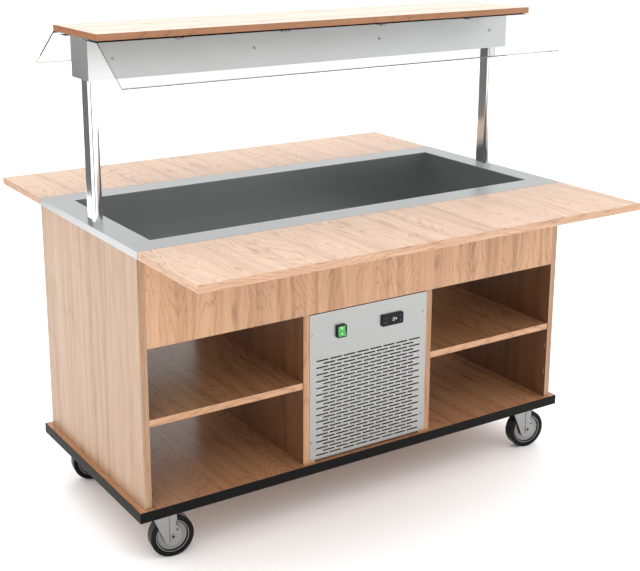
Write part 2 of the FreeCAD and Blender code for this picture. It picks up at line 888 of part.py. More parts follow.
def power_switch():
    """The rocker switch: a deep frame in the vent panel and the rocker in it."""
    centre = (s.switch_across, -vent_face, vent_bottom + vent_height - s.switch_drop)
    body = new_body("switch_frame", centre)
    bezel = new_sketch(body, "switch_bezel", "XZ")
    width, height = s.rocker_width + 2 * s.switch_border, s.rocker_height + 2 * s.switch_border
    rounded_rectangle(bezel, -width / 2, -height / 2, width, height, as_size(3))
    pad(body, bezel, s.switch_bezel)
    width = s.rocker_width + 2 * s.switch_body_wall
    height = s.rocker_height + 2 * s.switch_body_wall
    back = new_sketch(body, "switch_back", "XZ")
    rectangle(back, -width / 2, -height / 2, width, height)
    pad(body, back, s.switch_body_depth, reverse=True)
    mouth = new_sketch(body, "switch_mouth", "XZ", s.switch_bezel)
    width, height = s.rocker_width + 2 * s.rocker_gap, s.rocker_height + 2 * s.rocker_gap
    rectangle(mouth, -width / 2, -height / 2, width, height)
    pocket(body, mouth, s.switch_bezel + 8)
    radius = s.trunnion_diameter / 2
    seats = new_sketch(body, "switch_trunnion_seats", "YZ")
    circle(seats, -s.rocker_pivot, 0, radius + s.running_clearance / 2)
    pocket(body, seats, width + 2 * (s.trunnion_reach + s.running_clearance), both=True)
    keep("switch_frame", body)
    pivot = (centre[0], centre[1] - s.rocker_pivot, centre[2])
    rocker = new_body("switch_rocker", pivot, (-1, 0, 0), s.rocker_tilt)
    profile = new_sketch(rocker, "rocker_profile", "YZ")
    half = s.rocker_height / 2 - 0.3
    rise = half * sine(s.rocker_tilt) * 1.1
    polygon(
        profile,
        [
            (-rise - 2, -half),
            (as_size(-2), as_size(0)),
            (-rise - 2, half),
            (as_size(1), half * 0.96),
            (as_size(7), as_size(5)),
            (as_size(7), as_size(-5)),
            (as_size(1), -half * 0.96),
        ],
    )
    pad(rocker, profile, s.rocker_width, both=True)
    trunnions = new_sketch(rocker, "rocker_trunnions", "YZ")
    circle(trunnions, 0, 0, radius)
    pad(rocker, trunnions, width + 2 * s.trunnion_reach, both=True)
    keep("switch_rocker", rocker)


def cable_gland():
    """The gland in the rear panel where the supply lead goes in."""
    body = new_body("cable_gland", (gland_across, vent_face, vent_bottom + s.gland_up), (1, 0, 0), -90)
    bore, thread, flange = s.gland_bore / 2, s.gland_thread / 2, s.gland_flange / 2
    nut, inside = flange - 3, s.gland_length - thread
    profile = new_sketch(body, "gland_profile", "XZ")
    polygon(
        profile,
        [
            (bore, -inside),
            (thread, -inside),
            (thread, 0),
            (flange, 0),
            (flange, 5),
            (nut, 8),
            (nut, s.gland_length - 4),
            (nut - 4, s.gland_length),
            (bore, s.gland_length),
        ],
    )
    revolve(body, profile, "V_Axis")
    keep("cable_gland", body)


# ---------------------------------------------------------------- steel top, well, drain


def post_bolts():
    """The bolt places of the two hood posts."""
    places = []
    for side, name in SIDES:
        for end in (-1, 1):
            places.append((side * post_spacing / 2, end * s.post_bolt_pitch / 2))
    return places


def steel_top():
    """The folded top: plate, skirt and return flange, open over the well."""
    body = new_body("steel_top", (0, 0, rim_top))
    length, depth = s.carcass_length, rim_depth
    plate = new_sketch(body, "top_plate", "XY")
    rectangle(plate, -length / 2, -depth / 2, length, depth)
    rectangle(plate, -well_length / 2, -well_width / 2, well_length, well_width)
    for x, y in post_bolts():
        circle(plate, x, y, s.bolt_diameter / 2 + s.screw_clearance)
    pad(body, plate, s.sheet, reverse=True)
    skirt = new_sketch(body, "top_skirt", "XY")
    rectangle(skirt, -length / 2, -depth / 2, length, depth)
    inner_l, inner_d = length - 2 * s.sheet, depth - 2 * s.sheet
    rectangle(skirt, -inner_l / 2, -inner_d / 2, inner_l, inner_d)
    pad(body, skirt, s.rim_height, reverse=True)
    flange = new_sketch(body, "top_return", "XY", s.sheet - s.rim_height)
    rectangle(flange, -length / 2, -depth / 2, length, depth)
    inner_l, inner_d = length - 2 * s.rim_return, depth - 2 * s.rim_return
    rectangle(flange, -inner_l / 2, -inner_d / 2, inner_l, inner_d)
    pad(body, flange, s.sheet, reverse=True)
    keep("steel_top", body)


def well_tub():
    """The open tub of the cold well, welded from two folded sides, two folded ends and a floor."""
    top = rim_top - s.sheet
    low = top - s.well_depth
    pieces = []
    for end, name in ((-1, "front"), (1, "rear")):
        near = -well_width / 2 - s.sheet if end < 0 else well_width / 2
        out = near - s.tub_flange if end < 0 else near + s.sheet
        long = well_length + 2 * s.sheet
        wall = block(f"tub_{name}_wall", (-long / 2, near, low), (long, s.sheet, s.well_depth))
        flange = block(f"tub_{name}_flange", (-long / 2, out, top - s.sheet), (long, s.tub_flange, s.sheet))
        pieces.append(fuse(f"tub_{name}", [wall, flange]))
    for side, name in SIDES:
        near = -well_length / 2 - s.sheet if side < 0 else well_length / 2
        out = near - s.tub_flange if side < 0 else near + s.sheet
        deep = well_width + 2 * (s.sheet + s.tub_flange)
        wall = block(f"tub_{name}_wall", (near, -well_width / 2, low), (s.sheet, well_width, s.well_depth))
        flange = block(f"tub_{name}_flange", (out, -deep / 2, top - s.sheet), (s.tub_flange, deep, s.sheet))
        pieces.append(fuse(f"tub_{name}", [wall, flange]))
    corner, size = (-well_length / 2, -well_width / 2, low), (well_length, well_width, s.sheet)
    floor = block("tub_floor_sheet", corner, size)
    radius = s.drain_diameter / 2 + s.screw_clearance
    drain = rod("tub_drain", (drain_across, 0, low - 1), radius, s.sheet + 2)
    pieces.append(cut("tub_floor", floor, [drain]))
    keep("well_tub", group("well_tub", pieces))


tray_width = s.machine_width - 2 * s.tray_side_gap
compressor_across = tray_width / 2 - s.compressor_side_gap


def coil_ends():
    """Where the two ends of the evaporator coil go down through the insulation."""
    reach = well_width / 2 - s.coil_margin_deep
    across = compressor_across + s.suction_across
    return [(across, -reach), (across, reach)]


def insulation():
    """The foam jacket round the tub, with room for the coil under the tub."""
    wide = well_length + 2 * s.sheet
    deep = well_width + 2 * s.sheet
    outer_w, outer_d = wide + 2 * s.insulation, deep + 2 * s.insulation
    top = rim_top - 2 * s.sheet
    jacket = block(
        "insulation_core",
        (-outer_w / 2, -outer_d / 2, insulation_bottom),
        (outer_w, outer_d, top - insulation_bottom),
    )
    cavity_bottom = tub_outer_bottom - s.coil_space
    cavity = block(
        "insulation_cavity",
        (-wide / 2, -deep / 2, cavity_bottom),
        (wide, deep, top - cavity_bottom + 1),
    )
    low = insulation_bottom - 1
    rise = cavity_bottom - low + 1
    radius = s.drain_diameter / 2 + s.screw_clearance
    tools = [cavity, rod("insulation_drain", (drain_across, 0, low), radius, rise)]
    for i, (x, y) in enumerate(coil_ends()):
        radius = s.coil_tube / 2 + s.screw_clearance
        tools.append(rod(f"insulation_tube_{i}", (x, y, low), radius, rise))
    keep("well_insulation", cut("well_insulation", jacket, tools))


def drain_pipe():
    """The drain: a flanged seat in the tub, a pipe down through the base and a hose spigot."""
    floor = rim_top - s.well_depth
    body = new_body("drain_pipe", (drain_across, 0, floor))
    radius, spigot = s.drain_diameter / 2, s.spigot_diameter / 2
    shoulder = base_bottom - s.spigot_drop - floor
    lower = shoulder - s.spigot_length
    bore = spigot - s.pipe_wall
    profile = new_sketch(body, "drain_profile", "XZ")
    polygon(
        profile,
        [
            (bore, lower),
            (spigot, lower),
            (spigot, shoulder),
            (radius, shoulder),
            (radius, 0),
            (radius + 12, 0),
            (radius + 10, 1.5),
            (bore, 1.5),
        ],
    )
    revolve(body, profile, "V_Axis")
    keep("drain_pipe", body)


# ---------------------------------------------------------------- machine space


tray_top = base_top + s.tray_sheet
tray_depth = 2 * (coil_ends()[1][1] + s.tray_margin_deep)
compressor_along = coil_ends()[1][1] - s.suction_along
condenser_top = tray_top + s.condenser_height
compressor_top = tray_top + s.compressor_height
fan_height = tray_top + s.condenser_height / 2
condenser_front = -coil_ends()[1][1] - s.condenser_depth / 2


def machine_tray():
    """The folded tray that carries the compressor, fan and condenser."""
    outer = block(
        "tray_outer",
        (-tray_width / 2, -tray_depth / 2, base_top),
        (tray_width, tray_depth, s.tray_lip),
    )
    inner = block(
        "tray_inner",
        (s.tray_sheet - tray_width / 2, s.tray_sheet - tray_depth / 2, tray_top),
        (tray_width - 2 * s.tray_sheet, tray_depth - 2 * s.tray_sheet, s.tray_lip),
    )
    radius = s.drain_diameter / 2 + s.screw_clearance
    drain = rod("tray_drain", (drain_across, 0, base_top - 1), radius, s.tray_sheet + 2)
    keep("machine_tray", cut("machine_tray", outer, [inner, drain]))


def compressor():
    """The hermetic compressor: a domed can on a foot plate, with two tube stubs and a terminal box."""
    body = new_body("compressor", (compressor_across, compressor_along, tray_top))
    radius, height = s.compressor_diameter / 2, s.compressor_height
    can = new_sketch(body, "compressor_can", "XZ")
    polygon(
        can,
        [
            (0, s.compressor_foot_gap),
            (radius - s.compressor_taper, s.compressor_foot_gap),
            (radius, s.compressor_taper_top),
            (radius, height - s.compressor_dome),
            (radius - s.compressor_dome_inset, height - s.compressor_crown),
            (0, height - s.compressor_crown / 2),
        ],
    )
    revolve(body, can, "V_Axis")
    foot = new_sketch(body, "compressor_foot", "XY")
    across = radius + s.compressor_foot_margin
    along = radius - 2 * s.compressor_foot_margin
    corner = 2 * s.compressor_foot_margin
    rounded_rectangle(foot, -across, -along, 2 * across, 2 * along, corner)
    pad(body, foot, s.compressor_foot_sheet)
    stubs = new_sketch(body, "compressor_stubs", "XY", height - s.stub_length)
    circle(stubs, s.suction_across, s.suction_along, s.coil_tube)
    circle(stubs, s.discharge_across, s.discharge_along, s.coil_tube)
    pad(body, stubs, s.stub_length)
    box = new_sketch(body, "compressor_terminals", "XZ", radius - corner)
    low = (height - s.terminal_height) / 2
    rounded_rectangle(box, -s.terminal_width / 2, low, s.terminal_width, s.terminal_height, as_size(5))
    pad(body, box, s.terminal_depth)
    keep("compressor", body)


def condenser():
    """The condenser: a block of upright fins joined at the back, with its two header stubs."""
    body = new_body("condenser", (0, condenser_front, tray_top))
    width = tray_width - 2 * s.condenser_side_gap
    depth, height = s.condenser_depth, s.condenser_height
    core = new_sketch(body, "condenser_core", "XY")
    rectangle(core, -width / 2, as_size(0), width, depth)
    pad(body, core, height)
    gap = new_sketch(body, "condenser_gap", "XZ")
    pitch = width / CONDENSER_GAPS
    rectangle(gap, -width / 2 + s.fin_thickness, s.condenser_edge, pitch - s.fin_thickness * 1.1, height)
    first = pocket(body, gap, depth - 6)
    row(body, [first], "X", CONDENSER_GAPS, pitch)
    keep("condenser", body)


def fan():
    """The condenser fan: a motor on a bent stand and a five-blade rotor on its shaft."""
    front = condenser_front + s.condenser_depth + s.fan_gap
    body = new_body("fan_rotor", (0, front + s.fan_depth, fan_height), (1, 0, 0), 90)
    hub = new_sketch(body, "rotor_hub", "XY")
    circle(hub, 0, 0, s.fan_hub / 2)
    circle(hub, 0, 0, s.shaft_diameter / 2 + s.running_clearance)
    pad(body, hub, s.fan_depth)
    blade = []
    for name, across, chord, angle in (
        ("root", s.fan_hub / 2 - 2, s.fan_hub * 0.55, 42),
        ("tip", s.fan_diameter / 2, s.fan_diameter * 0.34, 24),
    ):
        section = new_sketch(body, f"rotor_{name}", "YZ", across)
        along = (math.cos(math.radians(angle)), math.sin(math.radians(angle)))
        corners = []
        for i, j in ((-1, -1), (1, -1), (1, 1), (-1, 1)):
            y = i * chord / 2 * along[0] - j * s.blade_thickness / 2 * along[1]
            z = i * chord / 2 * along[1] + j * s.blade_thickness / 2 * along[0]
            corners.append((y, s.fan_depth / 2 + z))
        polygon(section, corners)
        blade.append(section)
    first = loft(body, *blade)
    polar(body, [first], "Z", 5)
    keep("fan_rotor", body)
    motor = new_body("fan_motor", (0, front + s.fan_depth, fan_height), (1, 0, 0), 90)
    can = new_sketch(motor, "motor_can", "XY", -s.fan_gap)
    circle(can, 0, 0, s.motor_diameter / 2)
    pad(motor, can, s.motor_length, reverse=True)
    shaft = new_sketch(motor, "motor_shaft", "XY", s.fan_depth - 1)
    circle(shaft, 0, 0, s.shaft_diameter / 2)
    pad(motor, shaft, s.fan_depth + s.fan_gap + 5, reverse=True)
    drop = tray_top - fan_height
    stand = new_sketch(motor, "motor_stand", "XY", -s.fan_gap - s.motor_length / 2)
    rectangle(stand, -s.stand_width / 2, drop, s.stand_width, -drop - s.motor_diameter / 4)
    pad(motor, stand, s.stand_sheet, reverse=True)
    foot = new_sketch(motor, "motor_foot", "XY", -s.fan_gap - s.motor_length / 2)
    rectangle(foot, -s.stand_width / 2, drop, s.stand_width, s.stand_sheet)
    pad(motor, foot, s.stand_length, reverse=True)
    keep("fan_motor", motor)


def tube(points, radius):
    """A round bar along straight runs, mitred where they turn."""
    spots = [FreeCAD.Vector(*[as_size(c).value for c in point]) for point in points]
    ring = Part.Wire([Part.makeCircle(radius, spots[0], spots[1] - spots[0])])
    return Part.makePolygon(spots).makePipeShell([ring], True, False, MITRED)


def refrigerant_circuit():
    """The copper tubes: the coil under the tub with its two falls, and the discharge line."""
    radius = s.coil_tube.value / 2
    level = tub_outer_bottom - s.running_clearance - s.coil_tube / 2
    (first_x, first_y), (last_x, last_y) = coil_ends()
    reach = well_length / 2 - s.coil_margin_long
    pitch = (last_y - first_y) / (COIL_RUNS - 1)
    points = [(first_x, first_y, condenser_top), (first_x, first_y, level)]
    side = 1
    for i in range(COIL_RUNS):
        y = first_y + i * pitch
        if i:
            points.append((side * reach, y, level))
            side = -side
        if i < COIL_RUNS - 1:
            points.append((side * reach, y, level))
    points += [(last_x, last_y, level), (last_x, last_y, compressor_top)]
    coil = tube(points, radius)
    x, y = compressor_across + s.discharge_across, compressor_along + s.discharge_along
    high = condenser_top + 60
    line = [(x, y, compressor_top), (x, y, high), (x, first_y, high), (x, first_y, condenser_top)]
    discharge = tube(line, radius)
    feature = document.addObject("Part::Feature", "refrigerant_circuit")
    feature.Shape = Part.Compound([coil, discharge])
    keep("refrigerant_circuit", feature)


# ---------------------------------------------------------------- hood


def hood_posts():
    """The two flat-oval posts, each with a threaded foot and a top plug."""
    posts = []
    for side, name in SIDES:
        body = new_body(f"{name}_post", (side * post_spacing / 2, 0, rim_top))
        wall = new_sketch(body, f"{name}_post_wall", "XY")
        oval(wall, s.post_thickness, s.post_width)
        oval(wall, s.post_thickness - 2 * s.post_wall, s.post_width - 2 * s.post_wall)
        rise = hood_bottom - s.sheet - rim_top
        pad(body, wall, rise)
        foot = new_sketch(body, f"{name}_post_foot", "XY")
        oval(foot, s.post_thickness - s.post_wall, s.post_width - s.post_wall)
        for end in (-1, 1):
            radius = s.bolt_diameter / 2 + s.pin_clearance
            circle(foot, 0, end * s.post_bolt_pitch / 2, radius)
        pad(body, foot, s.post_foot)
        crown = new_sketch(body, f"{name}_post_crown", "XY", rise)
        oval(crown, s.post_thickness - s.post_wall, s.post_width - s.post_wall)
        pad(body, crown, s.post_crown, reverse=True)
        posts.append(body)
    keep("hood_posts", group("hood_posts", posts))


light_screw_pitch = (light_length - 2 * s.light_screw_inset) / 3


def hood_board():
    """The board on top of the hood."""
    size = (hood_length, s.hood_depth, s.hood_thickness)
    keep("hood_board", block("hood_board", (-hood_length / 2, -s.hood_depth / 2, hood_bottom), size))


def light_screw_places():
    """The places of the screws along one long face of the light box."""
    return [(i - 1.5) * light_screw_pitch for i in range(4)]


def light_box():
    """The folded channel under the hood board, open below between its lips."""
    length, depth, height = light_length, s.light_depth, s.light_height
    low = hood_bottom - height
    outer = block("light_outer", (-length / 2, -depth / 2, low), (length, depth, height))
    inner = block(
        "light_inner",
        (-length / 2 + s.sheet, -depth / 2 + s.sheet, low + s.sheet),
        (length - 2 * s.sheet, depth - 2 * s.sheet, height - 2 * s.sheet),
    )
    lip = s.light_lip
    mouth = block(
        "light_mouth",
        (-length / 2 + lip / 2, -depth / 2 + lip, low - 1),
        (length - lip, depth - 2 * lip, s.sheet + 2),
    )
    radius = s.screw_diameter / 2 + s.screw_clearance
    tools = [inner, mouth]
    for i, x in enumerate(light_screw_places()):
        at = (x, -depth / 2 - 1, low + s.light_screw_up)
        tools.append(rod(f"light_hole_{i}", at, radius, depth + 2, "Y"))
    keep("light_box", cut("light_box", outer, tools))


def led_lamp():
    """The lamp: a long diffuser hung on four straps, which the side screws hold."""
    level = hood_bottom - s.light_height + s.light_screw_up
    body = new_body("led_lamp", (0, 0, level))
    across = s.light_depth - 2 * s.sheet - 2 * s.running_clearance
    high, low = s.strap_rise, s.strap_rise - s.strap_leg
    straps = new_sketch(body, "lamp_strap", "YZ", light_screw_places()[0])
    polygon(
        straps,
        [
            (-across / 2, low),
            (s.strap_sheet - across / 2, low),
            (s.strap_sheet - across / 2, high - s.strap_sheet),
            (across / 2 - s.strap_sheet, high - s.strap_sheet),
            (across / 2 - s.strap_sheet, low),
            (across / 2, low),
            (across / 2, high),
            (-across / 2, high),
        ],
    )
    first = pad(body, straps, s.strap_width, both=True)
    holes = new_sketch(body, "lamp_strap_holes", "XZ")
    circle(holes, light_screw_places()[0], 0, s.screw_diameter / 2 + s.pin_clearance)
    bore = pocket(body, holes, s.light_depth, both=True)
    row(body, [first, bore], "X", 4, light_screw_pitch)
    lamp = new_sketch(body, "lamp_profile", "YZ")
    floor = high - s.strap_sheet - s.lamp_height
    rounded_rectangle(lamp, -s.lamp_width / 2, floor, s.lamp_width, s.lamp_height, as_size(8))
    pad(body, lamp, light_length - 2 * s.lamp_inset, both=True)
    keep("led_lamp", body)


def glass_profile(body, name):
    """The outline of a bent pane, seen from the end: flat under the board, then sloping out."""
    thick = s.glass_thickness
    slope = root(s.glass_reach * s.glass_reach + s.glass_drop * s.glass_drop)
    fall, run = s.glass_drop / slope, s.glass_reach / slope
    start = s.light_depth / 2 + s.glass_side_gap
    bend = s.hood_depth / 2
    inner_bend = bend - thick * fall / (1 + run)
    sketch = new_sketch(body, name, "YZ")
    polygon(
        sketch,
        [
            (-start, 0),
            (-bend, 0),
            (-bend - s.glass_reach, -s.glass_drop),
            (-bend - s.glass_reach + thick * fall, -s.glass_drop - thick * run),
            (-inner_bend, -thick),
            (-start, -thick),
        ],
    )
    return sketch


def glasses():
    """The two bent panes of safety glass; the rear one mirrors the front one."""
    body = new_body("front_glass", (0, 0, hood_bottom))
    outline = glass_profile(body, "glass_outline")
    pad(body, outline, hood_length, both=True)
    keep("front_glass", body)
    keep("rear_glass", mirrored("rear_glass", body, (0, 1, 0)))


def glass_clamps():
    """Eight clamp plates that hold the panes up against the board, each with a screw."""
    clamps = []
    pitch = (hood_length - 2 * s.clamp_end_inset) / 3
    for end in (-1, 1):
        for i in range(4):
            x = (i - 1.5) * pitch
            y = end * (s.hood_depth / 2 - s.clamp_inset)
            top = hood_bottom - s.glass_thickness
            size = s.clamp_size
            corner = (x - size / 2, y - size / 2, top - s.clamp_sheet)
            plate = block(f"clamp_{end}_{i}", corner, (size, size, s.clamp_sheet))
            low = top - s.clamp_sheet - s.clamp_head
            knob = rod(f"clamp_head_{end}_{i}", (x, y, low), s.screw_diameter, s.clamp_head + 0.5)
            clamps.append(fuse(f"clamp_unit_{end}_{i}", [plate, knob]))
    keep("glass_clamps", group("glass_clamps", clamps))


# ---------------------------------------------------------------- folding wings


pivot_y = front_line + s.pivot_out
pivot_z = carcass_top - s.pivot_down
strut_low = pivot_z - s.strut_drop
rest_reach = root(s.strut_length * s.strut_length - s.strut_drop * s.strut_drop)
bracket_height = s.pivot_down + s.strut_drop + s.bracket_tail
arm_length = s.wing_depth - s.arm_end_gap


def bracket_places():
    """The middle of each folding bracket along X."""
    return [(side * (s.carcass_length / 2 - s.bracket_end_inset), name) for side, name in SIDES]


def wings():
    """The two tray wings, level with the steel top when they are up."""
    near = rim_depth / 2 + s.wing_gap
    low = rim_top - s.wing_thickness
    size = (s.carcass_length, s.wing_depth, s.wing_thickness)
    front = block("front_wing", (-s.carcass_length / 2, -near - s.wing_depth, low), size)
    keep("front_wing", front)
    keep("rear_wing", mirrored("rear_wing", front, (0, 1, 0)))


def bracket_plates():
    """The four channels on the aprons, each with its two pivot pins."""
    channels = []
    for x, name in bracket_places():
        body = new_body(f"{name}_bracket", (x, -front_line, carcass_top))
        section = new_sketch(body, f"{name}_bracket_side", "YZ")
        ear = s.pivot_out + s.ear_margin
        top = -s.bracket_top_gap
        polygon(
            section,
            [
                (0, top),
                (-ear, top),
                (-ear, -bracket_height),
                (0, -bracket_height),
            ],
        )
        pad(body, section, s.bracket_width, both=True)
        slot = new_sketch(body, f"{name}_bracket_slot", "XY", top)
        width = s.bracket_width - 2 * s.bracket_sheet
        rectangle(slot, -width / 2, -ear - 1, width, ear + 1 - s.bracket_sheet)
        pocket(body, slot, bracket_height)
        pins = []
        for level in (0, -s.strut_drop):
            z = pivot_z + level
            at = (x - s.bracket_width / 2 - 1, -pivot_y, z)
            pin = rod(f"{name}_pivot", at, s.pivot_diameter / 2, s.bracket_width + 2, "X")
            pins.append(pin)
        channels.append(fuse(f"{name}_channel", [body] + pins))
    front = group("front_channels", channels)
    rear = mirrored("rear_channels", front, (0, 1, 0))
    keep("bracket_plates", group("bracket_plates", [front, rear]))


def pin_notch(sketch, half, low):
    """The notch in an arm's walls that drops over the lower pivot pin when the wing is folded."""
    middle = -s.strut_drop
    polygon(
        sketch,
        [
            (middle - half, low),
            (middle + half, low),
            (middle + half, half / 2),
            (middle + half / 2, half),
            (middle - half / 2, half),
            (middle - half, half / 2),
        ],
    )


def wing_arms():
    """The channels under the wings, which turn on the upper pivot pins."""
    arms = []
    for x, name in bracket_places():
        body = new_body(f"{name}_arm", (x, -pivot_y, pivot_z))
        side = new_sketch(body, f"{name}_arm_side", "YZ")
        high = s.pivot_down
        low = high - s.bracket_depth
        near = s.pivot_out - s.bracket_sheet - 2
        polygon(
            side,
            [
                (near, low),
                (near, low + 8),
                (near - 4, high),
                (-arm_length, high),
                (-arm_length, high - 6),
                (14 - arm_length, low),
            ],
        )
        pad(body, side, s.arm_width, both=True)
        hollow = new_sketch(body, f"{name}_arm_hollow", "XY", low)
        width = s.arm_width - 2 * s.bracket_sheet
        rectangle(hollow, -width / 2, -arm_length - 1, width, arm_length + near + 2)
        pocket(body, hollow, s.bracket_depth - s.bracket_sheet, reverse=True)
        eye = new_sketch(body, f"{name}_arm_eye", "YZ")
        circle(eye, 0, 0, s.pivot_diameter / 2 + s.running_clearance)
        pocket(body, eye, s.arm_width + 2, both=True)
        notch = new_sketch(body, f"{name}_arm_notch", "YZ")
        pin_notch(notch, s.pivot_diameter / 2 + s.notch_clearance, low - 1)
        pocket(body, notch, s.arm_width + 2, both=True)
        arms.append(body)
    front = group("front_wing_arms", arms)
    keep("front_wing_arms", front)
    keep("rear_wing_arms", mirrored("rear_wing_arms", front, (0, 1, 0)))


def struts():
    """The flat struts: a lower eye on the channel's pin and a roller in the arm."""
    bars = []
    for x, name in bracket_places():
        body = new_body(f"{name}_strut", (x, -pivot_y, strut_low))
        bar = new_sketch(body, f"{name}_strut_bar", "YZ")
        length = s.strut_length
        lean = (-rest_reach / length, s.strut_drop / length)
        half = s.strut_width / 2
        polygon(
            bar,
            [
                (-lean[1] * half, lean[0] * half),
                (lean[1] * half, -lean[0] * half),
                (-rest_reach + lean[1] * half, s.strut_drop - lean[0] * half),
                (-rest_reach - lean[1] * half, s.strut_drop + lean[0] * half),
            ],
        )
        pad(body, bar, s.strut_sheet, both=True)
        ends = new_sketch(body, f"{name}_strut_ends", "YZ")
        circle(ends, 0, 0, half)
        circle(ends, -rest_reach, s.strut_drop, s.roller_diameter / 2)
        pad(body, ends, s.roller_width, both=True)
        eye = new_sketch(body, f"{name}_strut_eye", "YZ")
        circle(eye, 0, 0, s.pivot_diameter / 2 + s.running_clearance)
        pocket(body, eye, s.roller_width + 2, both=True)
        bars.append(body)
    front = group("front_struts", bars)
    keep("front_struts", front)
    keep("rear_struts", mirrored("rear_struts", front, (0, 1, 0)))


# ---------------------------------------------------------------- casters


wheel_radius = s.wheel_diameter / 2
fork_gap = s.wheel_width + 2 * s.wheel_gap
race_bottom = -s.caster_plate_thickness - s.race_height
crown_top = race_bottom - s.running_clearance
crown_bottom = crown_top - s.crown_sheet


def caster_plate(corner, x, y):
    """The bolted plate with the upper race and the kingpin of one caster."""
    body = new_body(f"{corner}_plate", (x, y, base_bottom))
    flat = new_sketch(body, f"{corner}_plate_flat", "XY")
    length, width = s.caster_plate_length, s.caster_plate_width
    rectangle(flat, -length / 2, -width / 2, length, width)
    for bx, by in caster_bolts(as_size(0), as_size(0)):
        circle(flat, bx, by, s.bolt_diameter / 2 + s.screw_clearance)
    pad(body, flat, s.caster_plate_thickness, reverse=True)
    race = new_sketch(body, f"{corner}_race", "XZ")
    radius = s.swivel_race_diameter / 2
    pin = s.kingpin_diameter / 2
    nut_top = crown_bottom - s.running_clearance
    polygon(
        race,
        [
            (0, -s.caster_plate_thickness / 2),
            (radius - 8, -s.caster_plate_thickness / 2),
            (radius - 2, race_bottom),
            (pin, race_bottom),
            (pin, nut_top),
            (pin + 4, nut_top),
            (pin + 4, nut_top - 6),
            (0, nut_top - 6),
        ],
    )
    revolve(body, race, "V_Axis")
    return body


def fork(corner, x, y):
    """The pressed-steel fork: a crown disc, two creased tapering legs and the hollow axle rivet."""
    body = new_body(f"{corner}_fork_press", (x, y, base_bottom), (0, 0, -1), s.caster_turn)
    axle_z = wheel_radius - caster_height
    trail, eye = s.caster_trail, s.fork_eye / 2
    outer = fork_gap / 2 + s.fork_sheet
    legs = new_sketch(body, f"{corner}_fork_legs", "XZ")
    leg_outline(legs, trail, axle_z, eye)
    pad(body, legs, 2 * outer, both=True)
    gap = new_sketch(body, f"{corner}_fork_gap", "YZ")
    drop = -axle_z + eye + 2
    rectangle(gap, -fork_gap / 2, crown_bottom - drop, fork_gap, drop)
    pocket(body, gap, 4 * s.swivel_race_diameter, both=True)
    crown = new_sketch(body, f"{corner}_fork_crown", "XY", crown_top)
    circle(crown, 0, 0, s.swivel_race_diameter / 2)
    pad(body, crown, s.crown_sheet, reverse=True)
    pin = new_sketch(body, f"{corner}_fork_pin_hole", "XY", crown_top)
    circle(pin, 0, 0, s.kingpin_diameter / 2 + s.running_clearance)
    pocket(body, pin, s.crown_sheet + 1)
    bores = new_sketch(body, f"{corner}_fork_holes", "XZ")
    circle(bores, trail, axle_z, s.axle_diameter / 2 + s.pin_clearance)
    circle(bores, trail + s.rivet_across, axle_z + s.rivet_up, s.rivet_hole / 2)
    pocket(body, bores, 3 * outer, both=True)
    for offset, back in ((outer, False), (-outer, True)):
        crease = new_sketch(body, f"{corner}_fork_crease_{int(back)}", "XZ", offset)
        left, low = trail - s.crease_setback - s.crease_width, axle_z - eye / 2
        rectangle(crease, left, low, s.crease_width, crown_bottom - low)
        pocket(body, crease, s.crease_depth, reverse=back)
    axle = new_body(f"{corner}_axle", (x, y, base_bottom), (0, 0, -1), s.caster_turn)
    shank = new_sketch(axle, f"{corner}_axle_shank", "XZ")
    circle(shank, trail, axle_z, s.axle_diameter / 2)
    pad(axle, shank, 2 * outer + 2, both=True)
    for offset, back in ((outer, False), (-outer, True)):
        head = new_sketch(axle, f"{corner}_axle_flange_{int(back)}", "XZ", offset)
        circle(head, trail, axle_z, s.axle_flange / 2)
        pad(axle, head, 1, reverse=back)
    bore = new_sketch(axle, f"{corner}_axle_bore", "XZ")
    circle(bore, trail, axle_z, s.axle_bore / 2)
    pocket(axle, bore, 3 * outer, both=True)
    keep(f"{corner}_fork", group(f"{corner}_fork", [body, axle]))


def leg_outline(sketch, trail, axle_z, eye):
    """The side view of a fork leg: wide at the crown, waisted behind and round about the axle."""
    left, right = -s.swivel_race_diameter / 2 + 2, s.swivel_race_diameter / 2 - 2
    top = crown_top
    dx, dz = (trail - left).value, (axle_z - top).value
    distance = math.hypot(dx, dz)
    lean = math.atan2(dz, dx) - math.asin(eye.value / distance)
    reach = math.sqrt(distance**2 - eye.value**2)
    first = FreeCAD.Vector(left.value + reach * math.cos(lean), top.value + reach * math.sin(lean), 0)
    centre = FreeCAD.Vector(trail.value, axle_z.value, 0)
    end_angle = math.radians(30)
    end_x, end_y = trail + eye * math.cos(end_angle), axle_z + eye * math.sin(end_angle)
    waist = [
        (end_x, end_y),
        (trail + s.rivet_across + s.rivet_hole, axle_z + s.rivet_up + s.rivet_hole),
        (trail + s.rivet_hole * 1.2, axle_z + s.rivet_up + 3 * s.rivet_hole),
        (right, top - s.rivet_hole * 4),
        (right, top),
        (left, top),
    ]
    spots = [FreeCAD.Vector(x.value, y.value, 0) for x, y in waist]
    start = math.atan2(first.y - centre.y, first.x - centre.x)
    ring = Part.Circle(centre, FreeCAD.Vector(0, 0, 1), eye.value)
    sketch.addGeometry(Part.LineSegment(spots[-1], first))
    sketch.addGeometry(Part.ArcOfCircle(ring, start, 2 * math.pi + end_angle))
    for here, following in zip(spots, spots[1:]):
        sketch.addGeometry(Part.LineSegment(here, following))
    count = sketch.GeometryCount
    sketch.addConstraint(Sketcher.Constraint("Tangent", 0, 2, 1, 1))
    for i in range(1, count):
        sketch.addConstraint(Sketcher.Constraint("Coincident", i, 2, (i + 1) % count, 1))
    for i, (x, y) in enumerate(waist[1:], start=3):
        pin_point(sketch, i % count, 1, x, y)
    pin_point(sketch, 1, 3, trail, axle_z)
    constrain(sketch, end_y, "DistanceY", -1, 1, 2, 1)
    constrain(sketch, eye, "Radius", 1)


